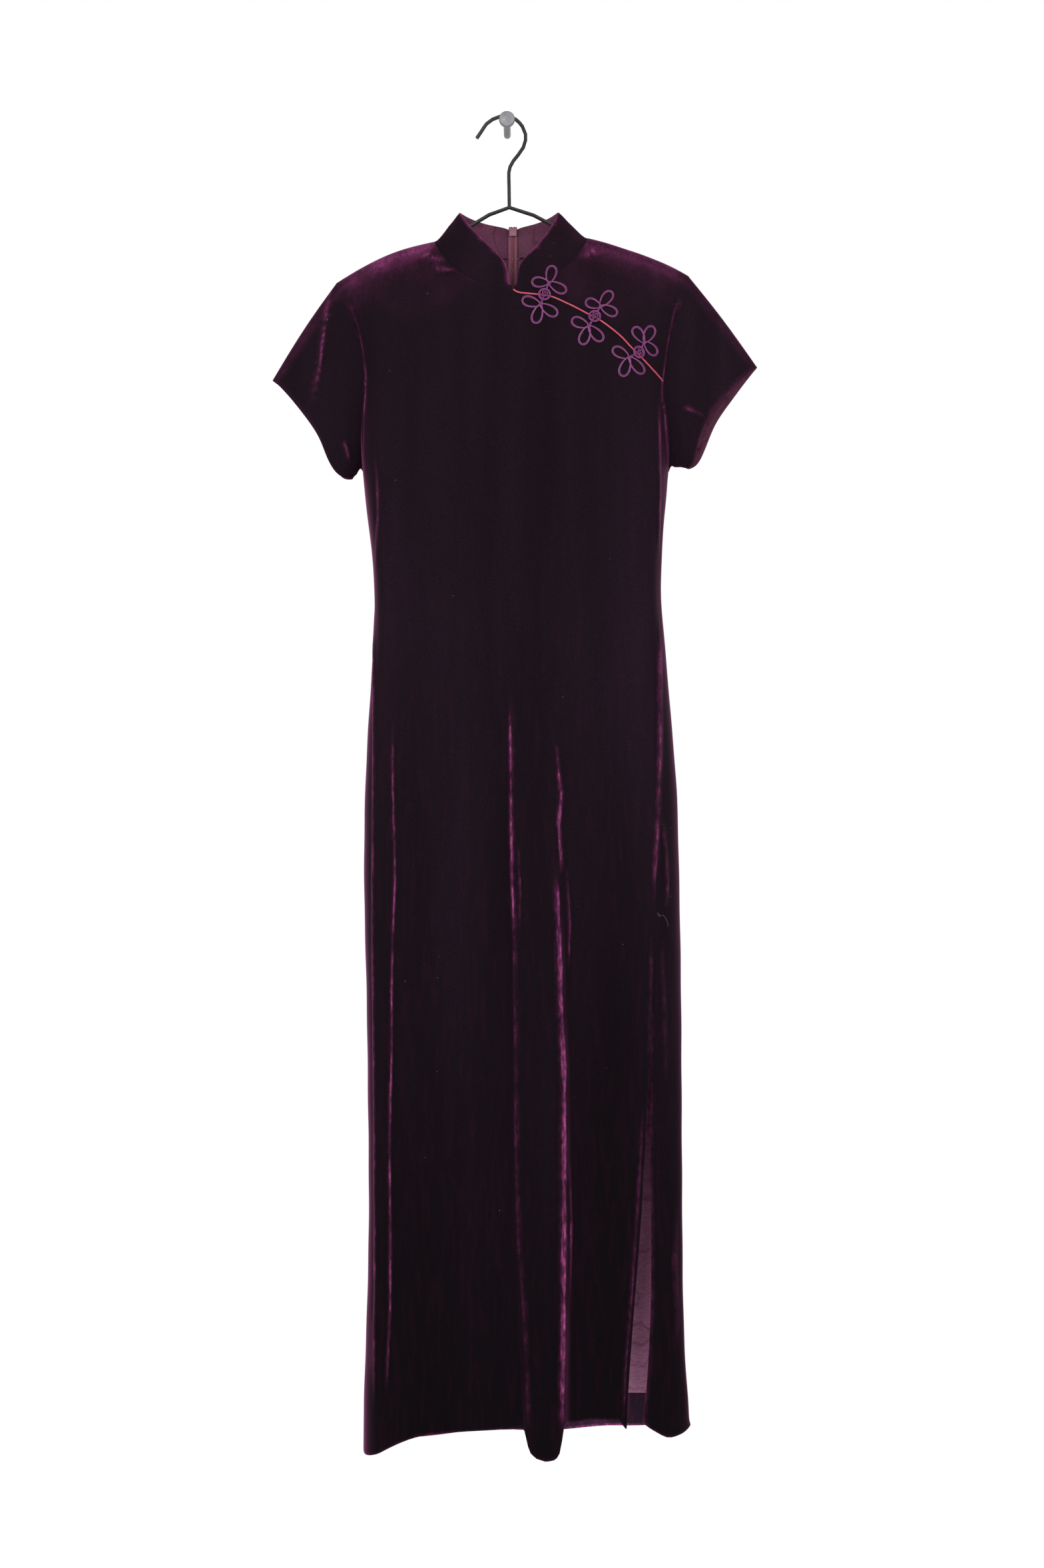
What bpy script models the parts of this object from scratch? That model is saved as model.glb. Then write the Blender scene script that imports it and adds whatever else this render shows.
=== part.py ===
"""Velvet maxi dress with a stand collar, on a wire hanger that hangs from a wall peg.

The origin is the centre of the peg's back face, on the wall. +Z is up, +Y points into the
wall, and the dress's front looks towards -Y. Sizes below are in millimetres and are turned
into metres as each mesh is made. x and z are measured from the peg's axis, and depths from
the plane of the hanger.
"""
import bisect
import math

import bmesh
import bpy
from mathutils import Vector
from mathutils.bvhtree import BVHTree

MM = 0.001

# Cloth
VELVET = 2.0
LINING = 1.0
TAPE = 1.0
SEAM_GAP = 0.3
LINING_GAP = 0.9
ZIP_GAP = 1.6

# Garment
HANG_Y = -52.0
ARM_Z = -396.0
SLIT_TOP = -895.0
HEM_LEVEL = -1475.0
FREE_HEM = -1250.0
RIDGE = 6.5
ARM_DEPTH = 12.0
FRONT_RISE = 90.0
BACK_RISE = 50.0
NECK_DROP_FRONT = 62.0
NECK_DROP_BACK = 13.0
NECK_LEFT_X = -82.0
NECK_RIGHT_X = 91.0
NECK_LEFT_Z = -135.5
NECK_RIGHT_Z = -131.5
CENTRE_FRONT_X = 7.2
CENTRE_BACK_X = 6.5
FOLD_FOOT = 8.0
CUFF_DEPTH = 15.0

# Hanger and peg
WIRE_R = 2.1
WIRE_UNDER_RIDGE = 7.2
PEG_SHAFT_R = 4.0
PEG_HEAD_R = 9.0
PEG_HEAD_Y = -58.0
PEG_FRONT_Y = -63.0

# Trims
PIPING_R = 0.9
CORD_R = 1.4
BALL_R = 3.4
RING_R = 5.6
RING_RISE = 4.0
BUTTON_R = 3.2

# Zip
COLLAR_BACK_Y = -10.0
SLIDER_Z = -115.5
SLIDER_HALF_WIDTH = 4.0
SLIDER_HALF_LENGTH = 4.9
SLIDER_DEPTH = 2.9
TEETH_DEPTH = 1.6
PLATE_DEPTH = 1.2
EAR_IN = 1.7
EAR_OUT = 3.0
EAR_HALF = 1.2
PIN_R = 0.6
PIN_RUNNING = 0.35
PIN_CLEARANCE = 0.4
PULL_EYE_R = 1.7
PULL_EYE_HALF = 1.3
PULL_DEPTH = 1.0
PULL_LENGTH = 16.0
PULL_END_R = 2.8
PULL_TOP_HALF = 2.0
NECK_HALF = 1.2
ZIP_END_Z = -640.0
TAPE_W = 8.0


class Table:
    """Rows of named columns, read along a smooth curve through the rows."""

    def __init__(self, columns, rows):
        self.columns = columns.split()
        self.rows = sorted(rows)
        self.keys = [row[0] for row in self.rows]

    def at(self, column, key):
        place = self.columns.index(column)
        values = [row[place] for row in self.rows]
        if key <= self.keys[0]:
            return values[0]
        if key >= self.keys[-1]:
            return values[-1]
        low = bisect.bisect_right(self.keys, key) - 1
        step = self.keys[low + 1] - self.keys[low]
        t = (key - self.keys[low]) / step
        start = self.slope(values, low) * step
        end = self.slope(values, low + 1) * step
        return (
            (2 * t**3 - 3 * t**2 + 1) * values[low]
            + (t**3 - 2 * t**2 + t) * start
            + (3 * t**2 - 2 * t**3) * values[low + 1]
            + (t**3 - t**2) * end
        )

    def slope(self, values, n):
        """Slope at a row, flat at a peak, so that the curve never overshoots its rows."""
        sides = []
        for a in (n - 1, n):
            if 0 <= a < len(values) - 1:
                sides.append((values[a + 1] - values[a]) / (self.keys[a + 1] - self.keys[a]))
        if len(sides) == 1:
            return sides[0]
        if sides[0] * sides[1] <= 0:
            return 0.0
        return 2 * sides[0] * sides[1] / (sides[0] + sides[1])


# Silhouette of the body below the armholes
OUTLINE = Table("z left right", [
    (-1500, -161.5, 206.5),
    (-1440, -161.6, 203.6),
    (-1393, -159.4, 199.9),
    (-1303, -156.4, 197.6),
    (-1213, -155.0, 196.9),
    (-1123, -156.4, 196.1),
    (-988, -158.0, 195.4),
    (-853, -161.0, 193.1),
    (-763, -160.0, 190.9),
    (-695, -157.0, 186.4),
    (-628, -152.6, 181.9),
    (-583, -149.6, 177.4),
    (-538, -148.0, 172.9),
    (-515, -149.0, 173.6),
    (-470, -154.0, 175.0),
    (-425, -160.0, 179.6),
    (-396, -162.4, 182.5),
])
ARMHOLE_LEFT = Table("z x", [
    (-396.0, -162.4),
    (-363.0, -163.9),
    (-335.4, -163.9),
    (-303.2, -161.3),
    (-282.2, -160.9),
    (-254.4, -163.5),
    (-225.2, -169.5),
    (-205.7, -177.4),
    (-182.4, -192.4),
])
ARMHOLE_RIGHT = Table("z x", [
    (-396.0, 182.5),
    (-352.7, 181.9),
    (-324.9, 179.6),
    (-306.2, 176.6),
    (-291.9, 176.5),
    (-246.9, 182.3),
    (-211.7, 189.1),
    (-199.7, 193.1),
    (-174.2, 204.4),
])
# Top line of the shoulders, which dives under the collar and follows the hanger to its apex
SHOULDER = Table("x z", [
    (-192.4, -182.4),
    (-173.6, -170.4),
    (-146.0, -155.4),
    (-121.0, -145.0),
    (-98.6, -139.0),
    (-82.0, -135.5),
    (-60.0, -121.0),
    (-40.0, -109.8),
    (2.6, -89.6),
    (50.6, -109.2),
    (70.0, -119.5),
    (91.0, -131.5),
    (107.6, -135.2),
    (122.6, -140.4),
    (146.6, -147.9),
    (166.1, -155.4),
    (184.1, -162.9),
    (204.4, -174.2),
])
# Depth of the front and back from the hanger's plane, and the width in which each side turns
SECTION = Table("z front back turn_left turn_right", [
    (-1500, 46, 36, 30, 80),
    (-1303, 43, 36, 30, 66),
    (-1123, 41, 35, 31, 60),
    (-988, 40, 34, 30, 56),
    (-853, 38, 33, 33, 49),
    (-763, 37, 32, 32, 42),
    (-695, 36, 30, 26, 38),
    (-628, 35, 27, 18, 30),
    (-538, 33, 24, 12, 21),
    (-470, 36, 24, 14, 24),
    (-396, 43, 26, 20, 34),
    (-330, 43, 28, 34, 44),
    (-282, 40, 29, 44, 52),
    (-250, 37, 30, 52, 60),
    (-220, 34, 32, 60, 66),
    (-196, 31, 34, 66, 70),
    (-148, 28, 38, 70, 74),
])
# Front edge of the slit, the seam above it, and the edge of the back that wraps forward
SLIT = Table("z front_edge back_edge", [
    (-1475, 132.4, 151.5),
    (-1441, 133.5, 155.6),
    (-1388, 136.5, 158.6),
    (-1330, 140.6, 161.6),
    (-1241, 148.0, 161.0),
    (-1152, 153.4, 160.0),
    (-1063, 158.6, 159.6),
    (-978, 163.0, 163.0),
    (-895, 166.1, 166.1),
    (-763, 170.6, 170.6),
    (-695, 172.0, 172.0),
    (-538, 171.5, 171.5),
    (-470, 172.5, 172.5),
    (-425, 178.0, 178.0),
    (-396, 182.5, 182.5),
])
# The flat-topped fold down the middle of the skirt
BOX_FOLD = Table("z left right depth", [
    (-1500, 24.0, 61.0, 20.0),
    (-1388, 21.0, 63.0, 18.0),
    (-1272, 13.5, 64.0, 16.0),
    (-1152, 9.5, 64.0, 14.0),
    (-1063, 8.6, 63.0, 12.0),
    (-928, 8.0, 59.0, 11.0),
    (-809, 4.5, 59.0, 9.0),
    (-726, 4.0, 58.0, 5.0),
    (-640, 4.0, 56.0, 0.0),
    (-396, 6.0, 52.0, 0.0),
])
# Soft folds: depth is outward where positive
SOFT_FOLDS = [
    {"side": "front", "top_z": -660, "top_x": -66, "hem_x": -52, "half_width": 34, "depth": -7},
    {"side": "front", "top_z": -760, "top_x": -20, "hem_x": -16, "half_width": 22, "depth": 3},
    {"side": "front", "top_z": -700, "top_x": 96, "hem_x": 96, "half_width": 26, "depth": -7},
    {"side": "back", "top_z": -620, "top_x": -80, "hem_x": -96, "half_width": 34, "depth": -9},
    {"side": "back", "top_z": -700, "top_x": -20, "hem_x": -34, "half_width": 26, "depth": 6},
    {"side": "back", "top_z": -660, "top_x": 50, "hem_x": 46, "half_width": 30, "depth": -8},
    {"side": "back", "top_z": -740, "top_x": 104, "hem_x": 112, "half_width": 26, "depth": 5},
]
HEM_FRONT = Table("x z", [
    (-161.5, -1497),
    (-137, -1485),
    (-115, -1469),
    (-45, -1464),
    (14, -1458),
    (24, -1472),
    (36, -1488),
    (49, -1490),
    (61, -1476),
    (70, -1453),
    (100, -1451),
    (122, -1450),
    (133, -1461),
])
HEM_WRAP = Table("x z", [
    (151, -1459),
    (169, -1470),
    (183, -1478),
    (196, -1475),
    (205.0, -1467),
])
HEM_BACK = Table("x z", [
    (-161.5, -1497),
    (-130, -1492),
    (-60, -1487),
    (0, -1484),
    (100, -1481),
    (180, -1476),
    (205.0, -1467),
])
# Upper edge of the collar, by the x of the neck seam below it; depth is towards the front
COLLAR_FRONT = Table("base x depth z", [
    (-82, -54, -1, -102),
    (-71, -50, 4, -108),
    (-59, -43, 8, -119),
    (-48, -33, 12, -130),
    (-36, -22, 17, -142),
    (-25, -13.5, 21, -150.5),
    (7.1, -2.5, 25, -163),
    (7.2, 17, 25, -162),
    (40, 30, 20, -148.5),
    (55, 39, 15, -138),
    (73, 49, 9, -122),
    (91, 59, -1, -101),
])
# Front edges of the two collar halves above the neck seam, with a narrow slit between them
SLIT_LEFT = [(1.9, -188.5), (1.3, -176.0)]
SLIT_RIGHT = [(11.0, -188.5), (10.8, -176.0)]
COLLAR_BACK = Table("base x depth z", [
    (-82, -54, -1, -102),
    (-60, -44, -22, -104),
    (-38, -30, -34, -107),
    (-16, -12, -40, -109.5),
    (6.5, 6.5, -42, -110),
    (28, 23, -40, -109),
    (50, 38, -34, -106),
    (70, 50, -22, -103),
    (91, 59, -1, -101),
])
# Cuffs, by the share of the way from the shoulder fold to the underarm
CUFF_LEFT = Table("share x z back_x", [
    (0.0, -264.8, -291.0, -264.8),
    (0.08, -254.0, -299.5, -253.0),
    (0.22, -240.4, -315.9, -238.0),
    (0.37, -224.6, -336.0, -222.0),
    (0.52, -210.0, -357.0, -207.0),
    (0.67, -202.1, -378.9, -199.0),
    (0.82, -192.0, -398.0, -189.0),
    (0.92, -180.0, -405.5, -180.0),
    (1.0, -168.0, -402.0, -168.0),
])
CUFF_RIGHT = Table("share x z back_x", [
    (0.0, 282.4, -276.2, 282.4),
    (0.1, 266.0, -289.0, 271.0),
    (0.25, 247.0, -307.0, 258.0),
    (0.40, 229.0, -328.0, 242.0),
    (0.55, 219.0, -347.0, 231.5),
    (0.70, 212.5, -368.0, 224.0),
    (0.85, 209.3, -386.0, 215.0),
    (0.94, 206.0, -392.0, 210.0),
    (1.0, 200.0, -393.0, 200.0),
])


def smooth(t):
    t = min(max(t, 0.0), 1.0)
    return t * t * (3.0 - 2.0 * t)


def mix(a, b, t):
    return a + (b - a) * t


def quarter_round(reach, width):
    """Height, from 0 to 1, of a quarter circle that starts at reach 0."""
    t = min(max(reach / width, 0.0), 1.0)
    return math.sqrt(1.0 - (1.0 - t) ** 2)


def side_edges(z):
    if z >= ARM_Z:
        return ARMHOLE_LEFT.at("x", z), ARMHOLE_RIGHT.at("x", z)
    return OUTLINE.at("left", z), OUTLINE.at("right", z)


def armhole_depth(z, on_left):
    """Half the opening of the armhole, front to back, at a height."""
    if z <= ARM_Z:
        return 0.0
    top = SHOULDER.at("z", -1000.0 if on_left else 1000.0)
    middle = (top + ARM_Z) / 2
    reach = min(abs(z - middle) / (top - middle), 1.0)
    return ARM_DEPTH * (1.0 - reach**2) ** 0.3


def fold_depth(side, x, z):
    """How far the named folds move the cloth outward."""
    total = 0.0
    if side == "front":
        left = BOX_FOLD.at("left", z)
        right = BOX_FOLD.at("right", z)
        reach = abs(x - (left + right) / 2) - (right - left) / 2
        total += BOX_FOLD.at("depth", z) * (1.0 - smooth((reach + 1.5) / FOLD_FOOT))
    for fold in SOFT_FOLDS:
        if fold["side"] != side:
            continue
        share = (z - fold["top_z"]) / (HEM_LEVEL - fold["top_z"])
        if share <= 0:
            continue
        middle = mix(fold["top_x"], fold["hem_x"], share)
        near = smooth(1.0 - abs(x - middle) / fold["half_width"] / 1.4)
        total += fold["depth"] * smooth(share * 1.3) * near
    return total


def cloth_depth(side, x, z):
    """Distance of the cloth's outer face from the hanger's plane."""
    left, right = side_edges(z)
    full = SECTION.at(side, z) + fold_depth(side, x, z)
    edge = mix(armhole_depth(z, True), armhole_depth(z, False), smooth((x + 40) / 80))
    reach = min((x - left) / SECTION.at("turn_left", z), (right - x) / SECTION.at("turn_right", z))
    soft = math.sin(min(max(reach, 0.0), 1.0) * math.pi / 2)
    turn = mix(quarter_round(reach, 1.0), soft, smooth((z - ARM_Z) / 60))
    depth = edge + (full - edge) * turn
    below = SHOULDER.at("z", x) - z
    rise = FRONT_RISE if side == "front" else BACK_RISE
    shoulder = RIDGE * quarter_round(below, RIDGE)
    shoulder += (full - RIDGE) * smooth((below - RIDGE) / rise)
    return max(min(depth, shoulder), 0.0)


def place(side, x, z, scale=1.0):
    """A point of the garment's outer face, in the part's frame."""
    depth = cloth_depth(side, x, z) * scale
    return Vector((x, HANG_Y - depth if side == "front" else HANG_Y + depth, z))


def neck_line(side, x):
    """Height of the neck seam."""
    middle = (NECK_LEFT_X + NECK_RIGHT_X) / 2
    half = (NECK_RIGHT_X - NECK_LEFT_X) / 2
    reach = min(abs(x - middle) / half, 1.0)
    drop = NECK_DROP_FRONT if side == "front" else NECK_DROP_BACK
    level = mix(NECK_LEFT_Z, NECK_RIGHT_Z, (x - NECK_LEFT_X) / (2 * half))
    return level - drop * (1.0 - reach**2) ** 0.8


def top_line(side, x):
    if NECK_LEFT_X < x < NECK_RIGHT_X:
        return neck_line(side, x)
    return SHOULDER.at("z", x)


LOWER_ROWS = [
    HEM_LEVEL, -1462, -1440, -1388, -1320, -1250, -1175, -1100, -1030, -960, SLIT_TOP,
    -830, -763, -700, -645, -590, -538, -490, -442, ARM_Z,
]
UPPER_STEPS = 8
RIDGE_ANGLES = (60, 30, 0)


def front_stations(z):
    """Named column lines of the front at a height below the armholes."""
    left, right = side_edges(z)
    seam = SLIT.at("front_edge", z)
    turn = min(right - SECTION.at("turn_right", z), seam - 8)
    box_left = BOX_FOLD.at("left", z)
    box_right = BOX_FOLD.at("right", z)
    foot = box_right + FOLD_FOOT
    return [
        left,
        left + SECTION.at("turn_left", z),
        box_left - FOLD_FOOT,
        box_left,
        box_right,
        foot,
        mix(foot, turn, 0.35),
        turn,
        seam,
    ]


FRONT_TOP = [-192.4, NECK_LEFT_X, -25, CENTRE_FRONT_X, 44, 66, NECK_RIGHT_X, 150, 204.4]
FRONT_COUNTS = [5, 5, 1, 3, 1, 3, 3, 4]
FRONT_CROWDING = [0.9, 0, 0, 0, 0, 0, 0, 0]
FRONT_TOP_CROWDING = [0, 1, 0, 0, 0, -1, 0, 0]
BACK_TOP = [204.4, 150, NECK_RIGHT_X, CENTRE_BACK_X, NECK_LEFT_X, -192.4]
BACK_COUNTS = [4, 3, 4, 4, 5]
BACK_CROWDING = [0.9, 0, 0, 0, -0.9]
BACK_TOP_CROWDING = [0, 0, 1, -1, 0]


def back_stations(z):
    left, right = side_edges(z)
    return [
        right,
        right - SECTION.at("turn_right", z) * 0.8,
        mix(CENTRE_BACK_X, right, 0.5),
        CENTRE_BACK_X,
        mix(CENTRE_BACK_X, left, 0.62),
        left,
    ]


def spread(stations, counts, crowding):
    """Columns between stations, crowded towards a span's start (1), its end (-1) or neither."""
    columns = [stations[0]]
    for n, count in enumerate(counts):
        for k in range(1, count + 1):
            t = k / count
            if crowding[n] > 0:
                t = mix(t, 1.0 - math.cos(t * math.pi / 2), crowding[n])
            else:
                t = mix(t, math.sin(t * math.pi / 2), -crowding[n])
            columns.append(mix(stations[n], stations[n + 1], t))
    return columns


def hem_shift(hem, z):
    share = min(max((FREE_HEM - z) / (FREE_HEM - HEM_LEVEL), 0.0), 1.0)
    return (hem - HEM_LEVEL) * share**2


def body_grid(side):
    """Rows of points from the hem up to the shoulder and neck seams."""
    if side == "front":
        stations, counts, tops, hem = front_stations, FRONT_COUNTS, FRONT_TOP, HEM_FRONT
        crowding, top_crowding = FRONT_CROWDING, FRONT_TOP_CROWDING
    else:
        stations, counts, tops, hem = back_stations, BACK_COUNTS, BACK_TOP, HEM_BACK
        crowding, top_crowding = BACK_CROWDING, BACK_TOP_CROWDING
    rows = []
    hem_xs = spread(stations(HEM_LEVEL), counts, crowding)
    for level in LOWER_ROWS:
        xs = spread(stations(level), counts, crowding)
        row = []
        for x, hem_x in zip(xs, hem_xs):
            z = level + hem_shift(hem.at("z", hem_x), level)
            row.append(place(side, x, z))
        rows.append(row)
    start = spread(stations(ARM_Z), counts, crowding)
    left, right = side_edges(ARM_Z)
    low = [(x - left) / (right - left) for x in start]
    top_xs = spread(tops, counts, top_crowding)
    left, right = min(tops), max(tops)
    high = [(x - left) / (right - left) for x in top_xs]
    steps = [(n / UPPER_STEPS, RIDGE) for n in range(1, UPPER_STEPS + 1)]
    steps += [(1.0, RIDGE * (1.0 - math.cos(math.radians(angle)))) for angle in RIDGE_ANGLES]
    for share, drop in steps:
        row = []
        for low_share, high_share, top_x in zip(low, high, top_xs):
            top = top_line(side, top_x)
            z = top - drop if share == 1.0 else mix(ARM_Z, top - RIDGE, share)
            left, right = side_edges(z)
            x = mix(left, right, mix(low_share, high_share, smooth(share)))
            row.append(place(side, x, z))
        rows.append(row)
    return rows


def wrap_grid():
    """The back's right edge, which comes round the side to the seam and the slit."""
    rows = []
    hem_edge = SLIT.at("back_edge", HEM_LEVEL)
    hem_right = side_edges(HEM_LEVEL)[1]
    for level in LOWER_ROWS:
        right = side_edges(level)[1]
        edge = SLIT.at("back_edge", level)
        sink = 1.0 - 0.35 * smooth((SLIT_TOP - level) / 300)
        row = []
        for t in (0.0, 0.5, 0.85, 1.0):
            x = mix(edge, right, t)
            z = level + hem_shift(HEM_WRAP.at("z", mix(hem_edge, hem_right, t)), level)
            row.append(place("front", x, z, sink))
        rows.append(row)
    return rows


def cuff_point(cuff, share, is_back):
    x = cuff.at("back_x" if is_back else "x", share)
    lens = math.sin(math.pi * min(max(share, 0.0), 1.0)) ** 0.5
    depth = CUFF_DEPTH * lens
    return Vector((x, HANG_Y + depth if is_back else HANG_Y - depth, cuff.at("z", share)))


def sleeve_grid(front_edge, back_edge, cuff, fold_bow):
    """Rings from the armhole to the cuff; each runs down the front and up the back."""
    lengths = [0.0]
    for a, b in zip(front_edge, front_edge[1:]):
        lengths.append(lengths[-1] + (b - a).length)
    shares = [length / lengths[-1] for length in lengths]
    ring = [(point, share, False) for point, share in zip(front_edge, shares)]
    ring += [(point, share, True) for point, share in zip(back_edge[-2::-1], shares[-2::-1])]
    rows = []
    steps = 5
    for n in range(steps + 1):
        t = n / steps
        row = []
        for point, share, is_back in ring:
            end = cuff_point(cuff, share, is_back)
            spot = point.lerp(end, t)
            lens = math.sin(math.pi * min(share, 1.0)) ** 0.5
            puff = 4.0 * math.sin(math.pi * t) * lens
            spot.y += puff if is_back else -puff
            spot.z += fold_bow * math.sin(math.pi * t) * (1.0 - smooth(share * 3))
            row.append(spot)
        rows.append(row)
    return rows


def collar_rows(base, edge_table):
    """Rows of collar points from the neck seam to the upper edge."""
    tops = []
    for point in base:
        x = edge_table.at("x", point.x)
        y = HANG_Y - edge_table.at("depth", point.x)
        tops.append(Vector((x, y, edge_table.at("z", point.x))))
    rows = []
    for t in (0.0, 1 / 3, 2 / 3, 1.0):
        rows.append([a.lerp(b, t) for a, b in zip(base, tops)])
    return rows


class Skin:
    """The garment's outer face as one mesh, so that neighbours share their seam's points."""

    def __init__(self):
        self.points = []
        self.lookup = {}
        self.panels = {}
        self.grids = {}
        self.normals = []

    def number(self, point):
        key = tuple(round(value, 2) for value in point)
        if key not in self.lookup:
            self.lookup[key] = len(self.points)
            self.points.append(Vector(point))
        return self.lookup[key]

    def add(self, panel, grid_name, grid):
        numbers = [[self.number(point) for point in row] for row in grid]
        self.grids[grid_name] = numbers
        self.panels.setdefault(panel, []).extend(cells(numbers))

    def find_normals(self):
        self.normals = [Vector((0, 0, 0)) for _ in self.points]
        for faces in self.panels.values():
            for face in faces:
                normal = face_normal(self.points, face)
                for n in face:
                    self.normals[n] += normal
        for normal in self.normals:
            normal.normalize()


def cells(numbers):
    """Faces between the rows of a grid, with a point that repeats taken once."""
    faces = []
    for low, high in zip(numbers, numbers[1:]):
        for n in range(len(low) - 1):
            corners = [low[n], low[n + 1], high[n + 1], high[n]]
            face = [c for k, c in enumerate(corners) if c != corners[k - 1]]
            if len(face) > 2:
                faces.append(face)
    return faces


def face_normal(points, face):
    total = Vector((0, 0, 0))
    for n in range(1, len(face) - 1):
        first = points[face[n]] - points[face[0]]
        second = points[face[n + 1]] - points[face[0]]
        total += first.cross(second)
    return total


def make_object(name, bm, material, smooth_angle=None):
    bmesh.ops.scale(bm, vec=(MM, MM, MM), verts=bm.verts)
    mesh = bpy.data.meshes.new(name)
    bm.to_mesh(mesh)
    bm.free()
    mesh.materials.append(material)
    if smooth_angle:
        mesh.shade_smooth()
        mesh.set_sharp_from_angle(angle=math.radians(smooth_angle))
    item = bpy.data.objects.new(name, mesh)
    bpy.context.scene.collection.objects.link(item)
    return item


def edge_pulls(points, normals, faces, gap_at):
    """How far each edge point moves into its own piece, to leave the gap of the seam."""
    edges = {}
    for face in faces:
        for a, b in zip(face, face[1:] + face[:1]):
            edges[(a, b)] = True
    inward = {}
    for a, b in edges:
        if (b, a) in edges:
            continue
        along = (points[b] - points[a]).normalized()
        for n in (a, b):
            inward.setdefault(n, []).append(normals[n].cross(along).normalized())
    pulls = {}
    for n, sides in inward.items():
        middle = sum(sides, Vector((0, 0, 0))) / len(sides)
        length = max(middle.length, 0.5)
        pulls[n] = middle / length**2 * gap_at(n)
    return pulls


def cloth_wall(name, points, normals, faces, outside, inside, gap_at, material):
    """A closed wall of cloth between two offsets from a face."""
    pulls = edge_pulls(points, normals, faces, gap_at)
    used = sorted({n for face in faces for n in face})
    bm = bmesh.new()
    outer = {}
    inner = {}
    for n in used:
        spot = points[n] + pulls.get(n, Vector((0, 0, 0)))
        outer[n] = bm.verts.new(spot + normals[n] * outside)
        inner[n] = bm.verts.new(spot - normals[n] * inside)
    edges = set()
    for face in faces:
        bm.faces.new([outer[n] for n in face])
        bm.faces.new([inner[n] for n in reversed(face)])
        edges.update(zip(face, face[1:] + face[:1]))
    for a, b in sorted(edges):
        if (b, a) not in edges:
            bm.faces.new([outer[b], outer[a], inner[a], inner[b]])
    bmesh.ops.triangulate(bm, faces=bm.faces)
    return make_object(name, bm, material, 40)


def sweep(path, ups, radius, sides, closed=False):
    """A round rod along a path, as a mesh of its own."""
    bm = bmesh.new()
    rings = []
    count = len(path)
    for n, spot in enumerate(path):
        before = path[n - 1] if closed or n else path[n]
        after = path[(n + 1) % count] if closed or n < count - 1 else path[n]
        along = (after - before).normalized()
        across = along.cross(ups[n]).normalized()
        up = across.cross(along)
        ring = []
        for k in range(sides):
            angle = math.tau * (k + 0.5) / sides
            ring.append(bm.verts.new(spot + radius * (math.cos(angle) * across + math.sin(angle) * up)))
        rings.append(ring)
    pairs = list(zip(rings, rings[1:]))
    if closed:
        pairs.append((rings[-1], rings[0]))
    for low, high in pairs:
        for k in range(sides):
            bm.faces.new([low[k], low[(k + 1) % sides], high[(k + 1) % sides], high[k]])
    if not closed:
        bm.faces.new(rings[0])
        bm.faces.new(rings[-1])
    bmesh.ops.recalc_face_normals(bm, faces=bm.faces)
    return bm


def through(points, step):
    """A smooth path through points, with a point about every step."""
    path = []
    count = len(points)
    for n in range(count - 1):
        p0 = points[max(n - 1, 0)]
        p1 = points[n]
        p2 = points[n + 1]
        p3 = points[min(n + 2, count - 1)]
        pieces = max(1, round((p2 - p1).length / step))
        for k in range(pieces):
            t = k / pieces
            path.append(0.5 * (
                2 * p1 + (p2 - p0) * t
                + (2 * p0 - 5 * p1 + 4 * p2 - p3) * t**2
                + (3 * p1 - p0 - 3 * p2 + p3) * t**3
            ))
    path.append(points[-1].copy())
    return path


def united(name, meshes, material):
    """One closed body from overlapping ones."""
    parts = [make_object(name if n == 0 else "part", bm, material) for n, bm in enumerate(meshes)]
    body = parts[0]
    for part in parts[1:]:
        modifier = body.modifiers.new("Union", "BOOLEAN")
        modifier.operation = "UNION"
        modifier.object = part
    return settled(body, parts[1:])


def settled(body, helpers):
    """Give an object the mesh that its modifiers make, and remove their helpers."""
    bpy.context.view_layer.update()
    graph = bpy.context.evaluated_depsgraph_get()
    mesh = bpy.data.meshes.new_from_object(body.evaluated_get(graph))
    body.modifiers.clear()
    body.data = mesh
    for helper in helpers:
        bpy.data.objects.remove(helper)
    mesh.shade_smooth()
    mesh.set_sharp_from_angle(angle=math.radians(40))
    return body


def make_material(name, colour, roughness, metallic=0.0):
    material = bpy.data.materials.new(name)
    material.use_nodes = True
    shader = material.node_tree.nodes["Principled BSDF"]
    shader.inputs["Base Color"].default_value = (*colour, 1.0)
    shader.inputs["Roughness"].default_value = roughness
    shader.inputs["Metallic"].default_value = metallic
    return material


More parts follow.
